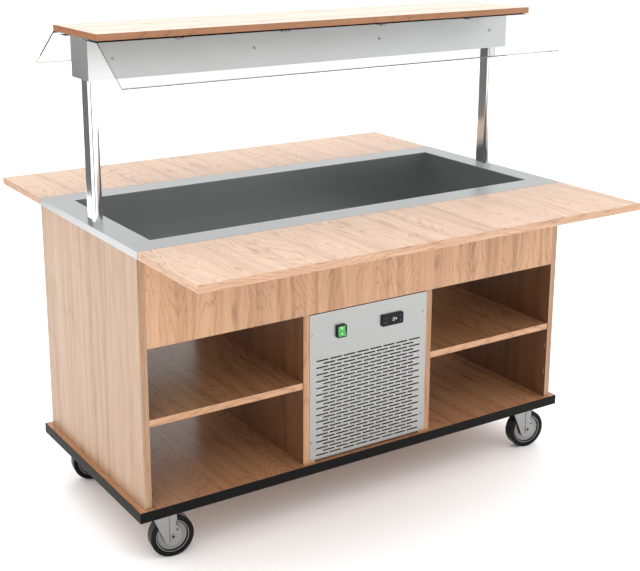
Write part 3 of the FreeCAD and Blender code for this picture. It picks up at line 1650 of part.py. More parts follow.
def wheel(corner, x, y):
    """The pressed-steel rim with its hub, and the rubber tyre on it."""
    turn = s.caster_turn
    centre = (x + s.caster_trail * cosine(turn), y - s.caster_trail * sine(turn), wheel_radius)
    rim = new_body(f"{corner}_rim", centre, (0, 0, -1), turn)
    profile = new_sketch(rim, f"{corner}_rim_profile", "YZ")
    hub_half = fork_gap / 2 - 2 * s.running_clearance
    bore = s.axle_diameter / 2 + s.running_clearance
    seat, disc = s.rim_diameter / 2, s.disc_diameter / 2
    half = s.wheel_width / 2
    face, lip = half - 4, s.rim_lip
    right = [
        (hub_half, bore),
        (hub_half, bore + 6),
        (face - 2, bore + 12),
        (face, disc),
        (face - 5, disc + 1),
        (face - 5, seat - 1),
        (half - 0.5, seat - 1),
        (half - 0.5, seat + lip),
        (half - 0.5 - lip, seat),
    ]
    polygon(profile, right + [(-y, radius) for y, radius in reversed(right)])
    revolve(rim, profile, "H_Axis")
    keep(f"{corner}_rim", rim)
    tyre = new_body(f"{corner}_tyre", centre, (0, 0, -1), turn)
    section = new_sketch(tyre, f"{corner}_tyre_section", "YZ")
    right = [
        (half - 0.5 - lip, seat),
        (half - 0.5, seat + lip),
        (half, seat + lip),
        (half, wheel_radius - 2),
        (half - 2, wheel_radius),
    ]
    polygon(section, right + [(-y, radius) for y, radius in reversed(right)])
    revolve(tyre, section, "H_Axis")
    keep(f"{corner}_tyre", tyre)


def casters():
    """The four swivel casters."""
    plates = []
    for corner, x, y in caster_centres():
        plates.append(caster_plate(corner, x, y))
        fork(corner, x, y)
        wheel(corner, x, y)
    keep("caster_plates", group("caster_plates", plates))


# ---------------------------------------------------------------- fasteners


def prism(name, at, radius, length, sides, axis=(0, 0, 1), angle=0):
    """A many-sided bar from a point, which stands in for a small round or hexagon one."""
    thing = document.addObject("Part::Prism", name)
    thing.Polygon = sides
    bind(thing, "Circumradius", radius)
    bind(thing, "Height", length)
    place(thing, at, axis, angle)
    return thing


def bolt(name, x, y, z, length):
    """A hexagon bolt that points up from the underside of what it holds."""
    head = prism(name + "_head", (x, y, z - s.bolt_head), s.bolt_diameter * 0.92, s.bolt_head, 6)
    shank = prism(name + "_shank", (x, y, z - 1), s.bolt_diameter / 2, length + 1, 8)
    return fuse(name, [head, shank])


def bolts():
    """The bolts of the casters and of the hood posts."""
    things = []
    for corner, x, y in caster_centres():
        for i, (bx, by) in enumerate(caster_bolts(x, y)):
            z = base_bottom - s.caster_plate_thickness
            things.append(bolt(f"bolt_{corner}_{i}", bx, by, z, s.caster_plate_thickness + s.bolt_bite))
    for i, (bx, by) in enumerate(post_bolts()):
        things.append(bolt(f"bolt_post_{i}", bx, by, rim_top - s.sheet, as_size(20)))
    keep("m8_bolts", group("m8_bolts", things))


def screw(name, at, end, length):
    """A pan-head screw in a vertical face; end is -1 at the front and 1 at the back."""
    x, face, z = at
    inward = (1, 0, 0), 90 * end
    shank = s.screw_diameter / 2
    tip = prism(name + "_shank", (x, end * face, z), shank, length, 8, *inward)
    head = prism(name + "_head", (x, end * (face + s.screw_head), z), 2 * shank, s.screw_head, 12, *inward)
    return fuse(name, [tip, head])


def screws():
    """The screws of the vent panels and the light box."""
    things = []
    for end in (-1, 1):
        for side in (-1, 1):
            x = side * (s.machine_width / 2 - s.vent_side_gap - s.vent_screw_inset)
            for i, height in enumerate((s.vent_screw_low, vent_screw_high)):
                name = f"panel_screw_{end + 1}_{side + 1}_{i}"
                things.append(screw(name, (x, vent_face, vent_bottom + height), end, as_size(16)))
        for i, x in enumerate(light_screw_places()):
            z = hood_bottom - s.light_height + s.light_screw_up
            name = f"light_screw_{end + 1}_{i}"
            things.append(screw(name, (x, s.light_depth / 2, z), end, as_size(6)))
    keep("pan_head_screws", group("pan_head_screws", things))


# ---------------------------------------------------------------- the whole bar


base()
end_panels()
dividers()
aprons_and_shelves()
vent_panel("front_vent_panel", True)
vent_panel("rear_vent_panel", False)
thermostat()
power_switch()
cable_gland()
steel_top()
well_tub()
insulation()
drain_pipe()
machine_tray()
compressor()
condenser()
fan()
refrigerant_circuit()
hood_posts()
light_box()
led_lamp()
glasses()
glass_clamps()
hood_board()
wings()
bracket_plates()
wing_arms()
struts()
casters()
bolts()
screws()
document.recompute()

failed = [thing.Name for thing in document.Objects if {"Invalid", "Error"} & set(thing.State)]
if failed:
    raise RuntimeError(f"these objects failed: {failed}")
for node in nodes:
    if node.Shape.isNull() or not node.Shape.isValid():
        raise RuntimeError(f"{node.Label} has no valid shape")
os.makedirs("parts", exist_ok=True)
for node in nodes:
    node.Shape.exportStep(f"parts/{node.Label}.step")
print(len(nodes), "sub-parts written")
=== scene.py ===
# Finishes, printed marks, camera and studio of a wheeled salad bar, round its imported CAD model.
# Lengths are in metres, and in millimetres where they are multiplied by MM or are said to be.

import json
import math

import bmesh
import bpy
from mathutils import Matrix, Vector
from mathutils.bvhtree import BVHTree


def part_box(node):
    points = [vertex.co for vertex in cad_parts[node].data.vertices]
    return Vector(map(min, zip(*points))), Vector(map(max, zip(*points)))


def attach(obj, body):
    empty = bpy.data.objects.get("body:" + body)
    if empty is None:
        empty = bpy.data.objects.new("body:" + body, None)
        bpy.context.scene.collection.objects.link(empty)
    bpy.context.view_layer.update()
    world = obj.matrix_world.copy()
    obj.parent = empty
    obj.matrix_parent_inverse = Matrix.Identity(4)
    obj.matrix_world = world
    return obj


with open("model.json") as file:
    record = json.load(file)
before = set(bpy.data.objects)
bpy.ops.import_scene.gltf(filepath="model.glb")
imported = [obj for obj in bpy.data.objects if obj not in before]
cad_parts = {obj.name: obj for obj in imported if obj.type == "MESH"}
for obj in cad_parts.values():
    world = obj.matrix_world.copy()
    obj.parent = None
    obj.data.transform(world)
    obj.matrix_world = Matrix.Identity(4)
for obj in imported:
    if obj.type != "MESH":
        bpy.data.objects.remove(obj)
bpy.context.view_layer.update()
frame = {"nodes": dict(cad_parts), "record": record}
nodes = frame["nodes"]
MM = 0.001
AXES = {"X": 0, "Y": 1, "Z": 2}

# ---------------------------------------------------------------- shader helpers


def grey(value):
    """A neutral colour."""
    return (value, value, value)


def opaque(colour):
    """A colour with full alpha."""
    return tuple(colour) + (1.0,)


def srgb(red, green, blue):
    """A linear colour from a display colour of 0 to 255."""
    def linear(channel):
        channel /= 255
        return channel / 12.92 if channel <= 0.04045 else ((channel + 0.055) / 1.055) ** 2.4
    return (linear(red), linear(green), linear(blue))


def scaled(colour, factor):
    """A colour times one factor or a factor for each channel."""
    factors = factor if isinstance(factor, tuple) else grey(factor)
    return tuple(channel * f for channel, f in zip(colour, factors))


def material(name, **sockets):
    """A material with one Principled shader and constants on its sockets."""
    made = bpy.data.materials.new(name)
    made.use_nodes = True
    tree = made.node_tree
    shader = tree.nodes["Principled BSDF"]
    for key, value in sockets.items():
        if isinstance(value, tuple) and len(value) == 3:
            value = opaque(value)
        shader.inputs[key.replace("_", " ")].default_value = value
    return made, tree, shader


def node(tree, kind, inputs=None, **settings):
    """Adds a shader node; inputs that are sockets are linked and the others are set."""
    made = tree.nodes.new("ShaderNode" + kind)
    for name, value in settings.items():
        setattr(made, name, value)
    for key, value in (inputs or {}).items():
        if isinstance(value, bpy.types.NodeSocket):
            tree.links.new(value, made.inputs[key])
        else:
            made.inputs[key].default_value = value
    return made


def object_place(tree):
    """A point's place in its object, which is its place in the model at rest."""
    return node(tree, "TexCoord").outputs["Object"]


def separated(tree, vector):
    """The X, Y and Z parts of a vector."""
    return node(tree, "SeparateXYZ", {0: vector}).outputs


def combined(tree, first, second, third):
    """Three values as one vector."""
    return node(tree, "CombineXYZ", {0: first, 1: second, 2: third}).outputs[0]


def maths(tree, operation, first, second=0.0):
    """A maths node's result."""
    return node(tree, "Math", {0: first, 1: second}, operation=operation).outputs[0]


def weighted(tree, first, first_weight, second, second_weight):
    """The sum of two values, each times its weight."""
    first_share = maths(tree, "MULTIPLY", first, first_weight)
    second_share = maths(tree, "MULTIPLY", second, second_weight)
    return maths(tree, "ADD", first_share, second_share)


def mix(tree, blend, factor, first, second):
    """A colour mix."""
    made = node(tree, "Mix", data_type="RGBA", blend_type=blend)
    for index, value in ((0, factor), (6, first), (7, second)):
        if isinstance(value, bpy.types.NodeSocket):
            tree.links.new(value, made.inputs[index])
        elif index == 0:
            made.inputs[index].default_value = value
        else:
            made.inputs[index].default_value = opaque(value)
    return made.outputs[2]


def ramp(tree, factor, stops):
    """A colour ramp through (place, colour) stops."""
    made = node(tree, "ValToRGB", {"Fac": factor})
    elements = made.color_ramp.elements
    first, last = elements[0], elements[-1]
    first.position, last.position = stops[0][0], stops[-1][0]
    first.color, last.color = opaque(stops[0][1]), opaque(stops[-1][1])
    for place, colour in stops[1:-1]:
        elements.new(place).color = opaque(colour)
    return made.outputs["Color"]


def grey_ramp(tree, factor, stops):
    """A ramp through (place, grey level) stops."""
    return ramp(tree, factor, [(place, grey(level)) for place, level in stops])


def noise(tree, vector, scale=1.0, detail=2.0, roughness=0.5):
    """A noise value between 0 and 1."""
    inputs = {"Vector": vector, "Scale": scale, "Detail": detail, "Roughness": roughness}
    return node(tree, "TexNoise", inputs).outputs[0]


def stretched(tree, vector, factors, shift=(0, 0, 0)):
    """Coordinates scaled along each axis, then moved."""
    inputs = {"Vector": vector, "Scale": factors, "Location": shift}
    return node(tree, "Mapping", inputs).outputs[0]


def stretched_noise(tree, vector, cells, shift=(0, 0, 0), detail=2.0, roughness=0.5):
    """Noise with its own number of cells in a metre along each axis."""
    return noise(tree, stretched(tree, vector, cells, shift), 1.0, detail, roughness)


def rounded_normal(tree, shader, radius, height=None, strength=0.0, distance=0.0):
    """Softens the edges of sharp pieces, and adds a bump where a height is given."""
    normal = node(tree, "Bevel", {"Radius": radius}, samples=4).outputs[0]
    if height is not None:
        inputs = {"Height": height, "Normal": normal, "Strength": strength, "Distance": distance}
        normal = node(tree, "Bump", inputs).outputs[0]
    tree.links.new(normal, shader.inputs["Normal"])


def facing(tree, axis, start=0.6, end=0.8):
    """1 on faces that look along an axis either way, 0 on the others."""
    normal = node(tree, "NewGeometry").outputs["True Normal"]
    size = maths(tree, "ABSOLUTE", separated(tree, normal)[axis])
    inputs = {"Value": size, "From Min": start, "From Max": end}
    return node(tree, "MapRange", inputs).outputs[0]


def facing_middle(tree):
    """1 on faces that look along X at the plane x = 0, and 0 on the others."""
    place = object_place(tree)
    normal = node(tree, "NewGeometry").outputs["True Normal"]
    place_x = separated(tree, place)["X"]
    normal_x = separated(tree, normal)["X"]
    outward = maths(tree, "MULTIPLY", place_x, normal_x)
    return maths(tree, "LESS_THAN", outward, -0.1)


# ---------------------------------------------------------------- wood

# Noise cells in a metre, along the fibres, across them and through the board.
WARP_CELLS = (3.0, 9.0, 9.0)
FIELD_CELLS = (1.3, 5.5, 5.5)
FIBRE_CELLS = (1.9, 105, 105)
FINE_CELLS = (9, 420, 420)
BAND_CELLS = (0.7, 34, 34)
PATCH_CELLS = (4, 12, 12)
PORE_CELLS = (45, 1300, 1300)

# The tone that each noise value, or each place within a ring, gives.
RING_TONES = [(0.0, 0.0), (0.07, 0.35), (0.20, 0.9), (0.55, 1.0), (0.86, 0.7), (1.0, 0.05)]
LINE_TONES = [(0.0, 0.0), (0.10, 0.75), (0.18, 1.0), (0.97, 1.0), (1.0, 0.0)]
PATCH_TONES = [(0.34, 0.25), (0.6, 1.0)]
FIBRE_TONES = [(0.32, 0.0), (0.5, 0.65), (0.68, 1.0)]
FINE_TONES = [(0.34, 0.25), (0.6, 1.0)]
BAND_TONES = [(0.33, 0.0), (0.5, 0.6), (0.67, 1.0)]
PORE_TONES = [(0.62, 1.0), (0.72, 0.70)]

# The share of the base colour at each tone, from the darkest line to the palest fibre.
WOOD_SHARES = [
    (0.0, (0.36, 0.29, 0.24)), (0.38, (0.72, 0.66, 0.61)),
    (0.64, (1.0, 1.0, 1.0)), (0.95, (1.20, 1.28, 1.34)),
]
PLAIN_TONE = 0.72
WOBBLE_DEPTH, FINE_DEPTH, CORE_DEPTH, PORE_DEPTH = 0.035, 0.24, 0.40, 0.7
CORE_START, CORE_END = 0.10, 0.26
WOOD_EDGE_RADIUS = 0.7 * MM


def grain_point(tree, grain, thickness):
    """Coordinates whose first part runs along the fibres; end faces get fibres along their length."""
    parts = separated(tree, object_place(tree))
    other = ({"X", "Y", "Z"} - {grain, thickness}).pop()
    plain = combined(tree, parts[grain], parts[other], parts[thickness])
    turned = combined(tree, parts[other], parts[thickness], parts[grain])
    return mix(tree, "MIX", facing(tree, grain), plain, turned)


def with_knots(tree, field, point, knots):
    """The ring field raised at each knot, and a value that is 0 in the knots' cores."""
    cores = None
    for along, across, length, width, strength in knots:
        inverse = (1 / length, 1 / width, 0.0)
        offset = stretched(tree, point, inverse, (-along / length, -across / width, 0))
        radius = node(tree, "VectorMath", {0: offset}, operation="LENGTH").outputs["Value"]
        square = maths(tree, "MULTIPLY", radius, radius)
        bump = maths(tree, "EXPONENT", maths(tree, "MULTIPLY", square, -1.0))
        field = maths(tree, "ADD", field, maths(tree, "MULTIPLY", bump, strength))
        inputs = {"Value": radius, "From Min": CORE_START, "From Max": CORE_END}
        core = node(tree, "MapRange", inputs).outputs[0]
        cores = core if cores is None else maths(tree, "MINIMUM", cores, core)
    return field, cores


def wood(name, grain, thickness, base, rings, ring_depth, streak_depth, band_depth, seed, roughness,
         edge_tint=(1.0, 1.0, 1.0), knots=(), inward_painted_shade=None, warping=0.03, line_depth=0.42):
    """Printed oak laminate: bands, fibre streaks, nested ring lines, knots and pores along one axis.

    A knot is (along, across, length, width, strength), with its place and size in metres, and the ring
    lines close round it. The edge tint is for the board's narrow faces; the inward tint is painted shade
    on faces that look inward, towards x = 0."""
    made, tree, shader = material(name, Roughness=roughness, Specular_IOR_Level=0.5)
    point = grain_point(tree, grain, thickness)
    warp = stretched_noise(tree, point, WARP_CELLS, (seed, 0, 3), 3.0, 0.55)
    shift = maths(tree, "MULTIPLY", maths(tree, "SUBTRACT", warp, 0.5), warping)
    across_shift = node(tree, "CombineXYZ", {1: shift}).outputs[0]
    moved = node(tree, "VectorMath", {0: point, 1: across_shift}, operation="ADD").outputs[0]

    field = stretched_noise(tree, moved, FIELD_CELLS, (seed * 2, seed, 0), 1.5, 0.45)
    field, cores = with_knots(tree, field, moved, knots)
    fibre = stretched_noise(tree, moved, FIBRE_CELLS, (seed, 1, 1), 3.0, 0.70)
    fine = stretched_noise(tree, moved, FINE_CELLS, (seed, 4, 1), 3.0, 0.65)
    bands = stretched_noise(tree, moved, BAND_CELLS, (0, seed, 2), 2.0, 0.6)
    wobble = maths(tree, "MULTIPLY", maths(tree, "SUBTRACT", fibre, 0.5), WOBBLE_DEPTH)
    wobbly_field = maths(tree, "ADD", field, wobble)
    turns = maths(tree, "FRACT", maths(tree, "MULTIPLY", wobbly_field, rings))
    ring_tone = grey_ramp(tree, turns, RING_TONES)
    thin_lines = grey_ramp(tree, turns, LINE_TONES)
    patches = stretched_noise(tree, moved, PATCH_CELLS, (0, 3, seed))
    line_weight = grey_ramp(tree, patches, PATCH_TONES)
    fibre_tone = grey_ramp(tree, fibre, FIBRE_TONES)
    fine_tone = grey_ramp(tree, fine, FINE_TONES)
    band_tone = grey_ramp(tree, bands, BAND_TONES)

    tone = mix(tree, "MIX", ring_depth, grey(PLAIN_TONE), ring_tone)
    tone = mix(tree, "MIX", streak_depth, tone, fibre_tone)
    tone = mix(tree, "MIX", band_depth, tone, band_tone)
    tone = mix(tree, "MIX", FINE_DEPTH, tone, fine_tone)
    if cores is not None:
        tone = mix(tree, "MULTIPLY", CORE_DEPTH, tone, cores)
    line_share = maths(tree, "MULTIPLY", line_weight, line_depth)
    drawn = mix(tree, "MIX", line_share, grey(1.0), thin_lines)
    tone = mix(tree, "MULTIPLY", 1.0, tone, drawn)

    colour = ramp(tree, tone, [(place, scaled(base, share)) for place, share in WOOD_SHARES])
    pores = stretched_noise(tree, moved, PORE_CELLS, detail=1.0)
    pits = grey_ramp(tree, pores, PORE_TONES)
    colour = mix(tree, "MULTIPLY", PORE_DEPTH, colour, pits)
    edges = maths(tree, "SUBTRACT", 1.0, facing(tree, thickness))
    colour = mix(tree, "MULTIPLY", edges, colour, edge_tint)
    # Painted shade: faces that look inward are darkened for the shade inside the bays.
    if inward_painted_shade is not None:
        colour = mix(tree, "MULTIPLY", facing_middle(tree), colour, inward_painted_shade)
    tree.links.new(colour, shader.inputs["Base Color"])
    rounded_normal(tree, shader, WOOD_EDGE_RADIUS, pits, 0.10, 0.15 * MM)
    return made


# ---------------------------------------------------------------- metals, plastics, rubber and glass


def slot_walls(tree, place, reach):
    """1 on faces that don't look along Y, as far as reach from the plane x = 0, and 0 elsewhere."""
    across = maths(tree, "ABSOLUTE", separated(tree, place)["X"])
    inside = maths(tree, "LESS_THAN", across, reach)
    return maths(tree, "MULTIPLY", inside, maths(tree, "SUBTRACT", 1.0, facing(tree, "Y")))


def steel(name, colour, roughness, brush="X", speckle=0.30, lines=0.25, dark=0.80, slot_shade_reach=0.0):
    """Satin stainless steel: a fine speckle, brush lines along one axis and slow clouds of gloss.

    dark is the darkest share of the colour, and the slot reach is how far from x = 0 the walls of a
    panel's slots are painted near black, as painted shade."""
    made, tree, shader = material(name, Metallic=1.0)
    place = object_place(tree)
    cells = [700, 700, 700]
    cells[AXES[brush]] = 14
    brushed = stretched_noise(tree, place, tuple(cells), detail=3.0, roughness=0.6)
    grain = noise(tree, place, 620.0, 2.0, 0.7)
    clouds = noise(tree, place, 6.0, 3.0)
    level = weighted(tree, brushed, lines, grain, speckle)
    level = maths(tree, "ADD", level, 0.5 * (1.0 - lines - speckle))
    tone = ramp(tree, level, [(0.36, scaled(colour, dark)), (0.5, colour), (0.64, scaled(colour, 1.12))])
    if slot_shade_reach:
        # Painted shade: the slot walls are painted near black for the shade inside the slots.
        tone = mix(tree, "MIX", slot_walls(tree, place, slot_shade_reach), tone, grey(0.02))
    tree.links.new(tone, shader.inputs["Base Color"])
    rough = weighted(tree, clouds, 0.08, level, 0.12)
    tree.links.new(maths(tree, "ADD", rough, roughness - 0.10), shader.inputs["Roughness"])
    rounded_normal(tree, shader, 0.7 * MM, level, 0.10, 0.04 * MM)
    return made


def zinc(name, colour, roughness, low=0.7, crease_shade=False):
    """Bright plating: soft spangle in colour, down to the low share of it, and haze in gloss.

    With crease shade on, painted shade darkens the colour where another face is within a few millimetres."""
    made, tree, shader = material(name, Metallic=1.0)
    place = object_place(tree)
    cells = node(tree, "TexVoronoi", {"Vector": place, "Scale": 220.0}).outputs["Color"]
    spangle = node(tree, "RGBToBW", {0: cells}).outputs[0]
    haze = noise(tree, place, 40.0, 3.0)
    level = weighted(tree, spangle, 0.35, haze, 0.65)
    tone = mix(tree, "MIX", level, scaled(colour, low), colour)
    # Painted shade in creases, from how open the space round each point is.
    if crease_shade:
        open_share = node(tree, "AmbientOcclusion", {"Distance": 7 * MM}, samples=6).outputs["AO"]
        painted_crease_shade = grey_ramp(tree, open_share, [(0.35, 0.12), (0.85, 1.0)])
        tone = mix(tree, "MULTIPLY", 1.0, tone, painted_crease_shade)
    tree.links.new(tone, shader.inputs["Base Color"])
    rough = maths(tree, "ADD", maths(tree, "MULTIPLY", haze, 0.18), roughness - 0.09)
    tree.links.new(rough, shader.inputs["Roughness"])
    rounded_normal(tree, shader, 0.6 * MM)
    return made


def plastic(name, colour, roughness, grain=0.0, specular=0.5):
    """Moulded plastic with a little colour drift and an optional fine texture."""
    made, tree, shader = material(name, Roughness=roughness, Specular_IOR_Level=specular)
    place = object_place(tree)
    drift = noise(tree, place, 18.0, 3.0)
    tone = mix(tree, "MIX", drift, scaled(colour, 0.8), colour)
    tree.links.new(tone, shader.inputs["Base Color"])
    rounded_normal(tree, shader, 0.4 * MM, noise(tree, place, 2600.0, 2.0), grain, 0.08 * MM)
    return made


def rubber(name):
    """Solid black rubber with a trace of dust."""
    made, tree, shader = material(name, Specular_IOR_Level=0.16)
    place = object_place(tree)
    dust = noise(tree, place, 60.0, 4.0, 0.6)
    tree.links.new(mix(tree, "MIX", dust, grey(0.001), grey(0.004)), shader.inputs["Base Color"])
    rough = maths(tree, "ADD", maths(tree, "MULTIPLY", dust, 0.2), 0.26)
    tree.links.new(rough, shader.inputs["Roughness"])
    rounded_normal(tree, shader, 1.0 * MM, noise(tree, place, 900.0, 3.0), 0.1, 0.1 * MM)
    return made


def glass(name):
    """Clear glass, slightly grey with a trace of dust; its low index keeps the bends and rims pale."""
    made, tree, shader = material(name, Roughness=0.0, IOR=1.12, Transmission_Weight=1.0)
    dust = noise(tree, object_place(tree), 9.0, 4.0)
    tone = mix(tree, "MIX", dust, grey(0.60), (0.64, 0.645, 0.64))
    tree.links.new(tone, shader.inputs["Base Color"])
    return made


def lit(name, colour, strength):
    """A surface that gives off a little light, uneven over its length."""
    made, tree, shader = material(name, Roughness=0.4, Base_Color=colour, Emission_Strength=strength)
    drift = noise(tree, object_place(tree), 14.0, 2.0)
    tone = mix(tree, "MIX", drift, scaled(colour, 0.9), colour)
    tree.links.new(tone, shader.inputs["Emission Color"])
    return made


# ---------------------------------------------------------------- every material by its name

PALE_OAK = (0.382, 0.238, 0.146)
WARM_OAK = (0.500, 0.284, 0.162)
# A lighter copy of the oak, painted light for the wings' lit tops.
LIT_WING_OAK = (0.550, 0.372, 0.264)
# A much paler copy of the oak, painted light for the hood's brightly lit top.
LIT_HOOD_OAK = (0.680, 0.520, 0.410)
SATIN_STEEL = (0.500, 0.508, 0.512)

APRON_KNOTS = (
    (0.690, -0.455, 0.150, 0.050, 0.40), (0.666, -0.457, 0.020, 0.008, 0.35),
    (0.756, -0.289, 0.020, 0.008, 0.35), (0.720, 0.240, 0.120, 0.040, 0.40),
)
FLOOR_KNOTS = (
    (-0.133, -0.456, 0.018, 0.008, 0.35), (-0.253, -0.316, 0.018, 0.008, 0.35),
    (-0.055, -0.350, 0.200, 0.050, 0.45), (-0.080, 0.600, 0.180, 0.050, 0.45),
)
WING_KNOTS = (
    (-0.463, 0.198, 0.090, 0.030, 0.40), (-0.600, -0.587, 0.110, 0.050, 0.40),
    (0.470, -0.250, 0.100, 0.040, 0.40),
)

WOODS = {
    # Painted shade: the end panels' faces towards the bays take a much darker inward tint.
    "panel_laminate": dict(
        grain="Z", thickness="X", base=PALE_OAK, rings=14, ring_depth=0.20, streak_depth=0.50,
        band_depth=0.40, seed=3.1, roughness=0.34, edge_tint=(0.96, 0.91, 0.85),
        inward_painted_shade=(0.36, 0.25, 0.18), warping=0.012, line_depth=0.20),
    # Painted shade: the dividers' broad faces are darkened for the shade inside the bays, and their narrow
    # faces are tinted back up.
    "divider_laminate": dict(
        grain="Z", thickness="X", base=scaled(WARM_OAK, (0.38, 0.29, 0.22)), rings=14, ring_depth=0.25,
        streak_depth=0.45, band_depth=0.40, seed=4.7, roughness=0.34, edge_tint=(2.4, 3.0, 3.6)),
    # Painted shade: the base board's oak is darkened for the shade on the bays' floors.
    "floor_laminate": dict(
        grain="Y", thickness="Z", base=scaled(WARM_OAK, (0.72, 0.64, 0.56)), rings=34, ring_depth=0.48,
        streak_depth=0.36, band_depth=0.34, seed=7.3, roughness=0.26, knots=FLOOR_KNOTS),
    "apron_laminate": dict(
        grain="Z", thickness="Y", base=scaled(WARM_OAK, (1.03, 1.02, 0.98)), rings=40, ring_depth=0.42,
        streak_depth=0.44, band_depth=0.42, seed=8.2, roughness=0.34, edge_tint=(0.9, 0.85, 0.8),
        knots=APRON_KNOTS, warping=0.05, line_depth=0.50),
    # Painted shade: the shelves' broad faces are darkened for the shade inside the bays, and their narrow
    # faces are tinted back up.
    "shelf_laminate": dict(
        grain="Y", thickness="Z", base=scaled(WARM_OAK, (0.58, 0.52, 0.46)), rings=22, ring_depth=0.42,
        streak_depth=0.38, band_depth=0.34, seed=5.7, roughness=0.26, edge_tint=(1.7, 1.8, 1.9)),
    # Painted light: the wings' broad faces take the lighter wing oak for the light on their tops, and
    # their narrow faces are tinted back down to about the apron's oak.
    "wing_laminate": dict(
        grain="Y", thickness="Z", base=LIT_WING_OAK, rings=46, ring_depth=0.44, streak_depth=0.36,
        band_depth=0.32, seed=1.3, roughness=0.34, edge_tint=(0.90, 0.79, 0.69), knots=WING_KNOTS,
        warping=0.06, line_depth=0.55),
    # Partly painted light: the hood board's broad faces take the pale hood oak for the strong light on its
    # top; its narrow faces are tinted dark brown.
    "hood_laminate": dict(
        grain="X", thickness="Z", base=LIT_HOOD_OAK, rings=20, ring_depth=0.36, streak_depth=0.44,
        band_depth=0.34, seed=6.1, roughness=0.26, edge_tint=(0.44, 0.24, 0.13)),
}
STEELS = {
    "top_steel": dict(colour=SATIN_STEEL, roughness=0.30),
    "tub_steel": dict(colour=scaled(SATIN_STEEL, 0.96), roughness=0.36, brush="Y"),
    "post_steel": dict(colour=grey(0.78), roughness=0.12, brush="Z", speckle=0.04, lines=0.08, dark=0.96),
    # The vent panels' slot walls carry painted shade.
    "vent_steel": dict(
        colour=(0.375, 0.380, 0.370), roughness=0.36, speckle=0.16, lines=0.12, dark=0.92, slot_shade_reach=0.2),
    "lamp_box_paint": dict(
        colour=(0.740, 0.746, 0.750), roughness=0.38, speckle=0.10, lines=0.10, dark=0.94),
}
ZINCS = {
    "fastener_steel": dict(colour=grey(0.56), roughness=0.26),
    "bracket_steel": dict(colour=grey(0.42), roughness=0.40),
    "tray_steel": dict(colour=grey(0.40), roughness=0.42),
    "caster_zinc": dict(colour=scaled(grey(0.28), (1, 1, 1.01)), roughness=0.34, low=0.84, crease_shade=True),
    "fork_zinc": dict(colour=scaled(grey(0.34), (1, 1, 1.01)), roughness=0.34, low=0.84, crease_shade=True),
    "rim_zinc": dict(colour=scaled(grey(0.27), (1, 1, 1.01)), roughness=0.34, low=0.84, crease_shade=True),
    "fin_aluminium": dict(colour=grey(0.50), roughness=0.35),
    "copper": dict(colour=(0.52, 0.19, 0.09), roughness=0.30),
    # Near-black for the screw recesses: painted shade for the shade inside them.
    "recess_dark": dict(colour=grey(0.05), roughness=0.5),
}
PLASTICS = {
    "motor_metal": dict(colour=grey(0.06), roughness=0.45),
    "compressor_black": dict(colour=grey(0.012), roughness=0.38),
    "fan_plastic": dict(colour=grey(0.015), roughness=0.5),
    "edging": dict(colour=grey(0.0025), roughness=0.45, grain=0.1, specular=0.12),
    "control_black": dict(colour=grey(0.003), roughness=0.34, grain=0.1, specular=0.22),
    "gland_black": dict(colour=grey(0.008), roughness=0.45, grain=0.1, specular=0.35),
    "key_grey": dict(colour=grey(0.006), roughness=0.38, grain=0.1, specular=0.22),
    "drain_plastic": dict(colour=grey(0.42), roughness=0.45, grain=0.1),
    "foam": dict(colour=srgb(225, 205, 150), roughness=0.8, grain=0.4),
    "rocker_green": dict(colour=(0.075, 0.50, 0.095), roughness=0.22),
}
LIGHTS = {
    "lamp_diffuser": dict(colour=(1.0, 0.90, 0.66), strength=1.6),
    # The marks give off light: the thermostat's digits are a lit display, and the glow of the signs on the
    # keys and the rocker is painted light.
    "mark_white": dict(colour=(0.86, 0.88, 0.86), strength=0.35),
    "mark_violet": dict(colour=(0.16, 0.15, 0.50), strength=0.25),
}


def make_materials():
    """Every material of the CAD nodes and of the marks, by its name."""
    made = {"wheel_rubber": rubber("wheel_rubber"), "pane_glass": glass("pane_glass")}
    families = ((wood, WOODS), (steel, STEELS), (zinc, ZINCS), (plastic, PLASTICS), (lit, LIGHTS))
    for make, family in families:
        for name, settings in family.items():
            made[name] = make(name, **settings)
    return made


materials = make_materials()
# Nodes that take another material than their slot's: the dividers and the base board take copies of the
# oak darkened as painted shade, and the well tub its own steel.
OWN_FINISH_AND_BAY_SHADE = {
    "left_divider": "divider_laminate", "right_divider": "divider_laminate",
    "base_board": "floor_laminate", "well_tub": "tub_steel",
}
slot_of = {part["node"]: part["material_slot"] for part in frame["record"]["subparts"]}
for name, thing in nodes.items():
    for holder in thing.material_slots:
        holder.material = materials[OWN_FINISH_AND_BAY_SHADE.get(name, slot_of[name])]

# ---------------------------------------------------------------- softened edges

# Width of the round on each board's outer edges, in mm.
ROUNDED = {
    "left_end_panel": 0.9, "right_end_panel": 0.9, "left_divider": 0.6, "right_divider": 0.6,
    "front_wing": 0.9, "rear_wing": 0.9, "hood_board": 0.9, "left_shelf": 0.7, "right_shelf": 0.7,
    "front_apron": 0.6, "rear_apron": 0.6, "base_edging": 0.8,
}


def round_edges(thing, width):
    """Small rounds on the outer edges of a board."""
    weld = thing.modifiers.new("weld", "WELD")
    weld.merge_threshold = 0.01 * MM
    bevel = thing.modifiers.new("round", "BEVEL")
    bevel.width = width * MM
    bevel.segments = 2
    bevel.limit_method = "ANGLE"
    bevel.angle_limit = math.radians(50)
    bevel.harden_normals = True


for name, width in ROUNDED.items():
    round_edges(nodes[name], width)

# ---------------------------------------------------------------- printed marks and screw recesses

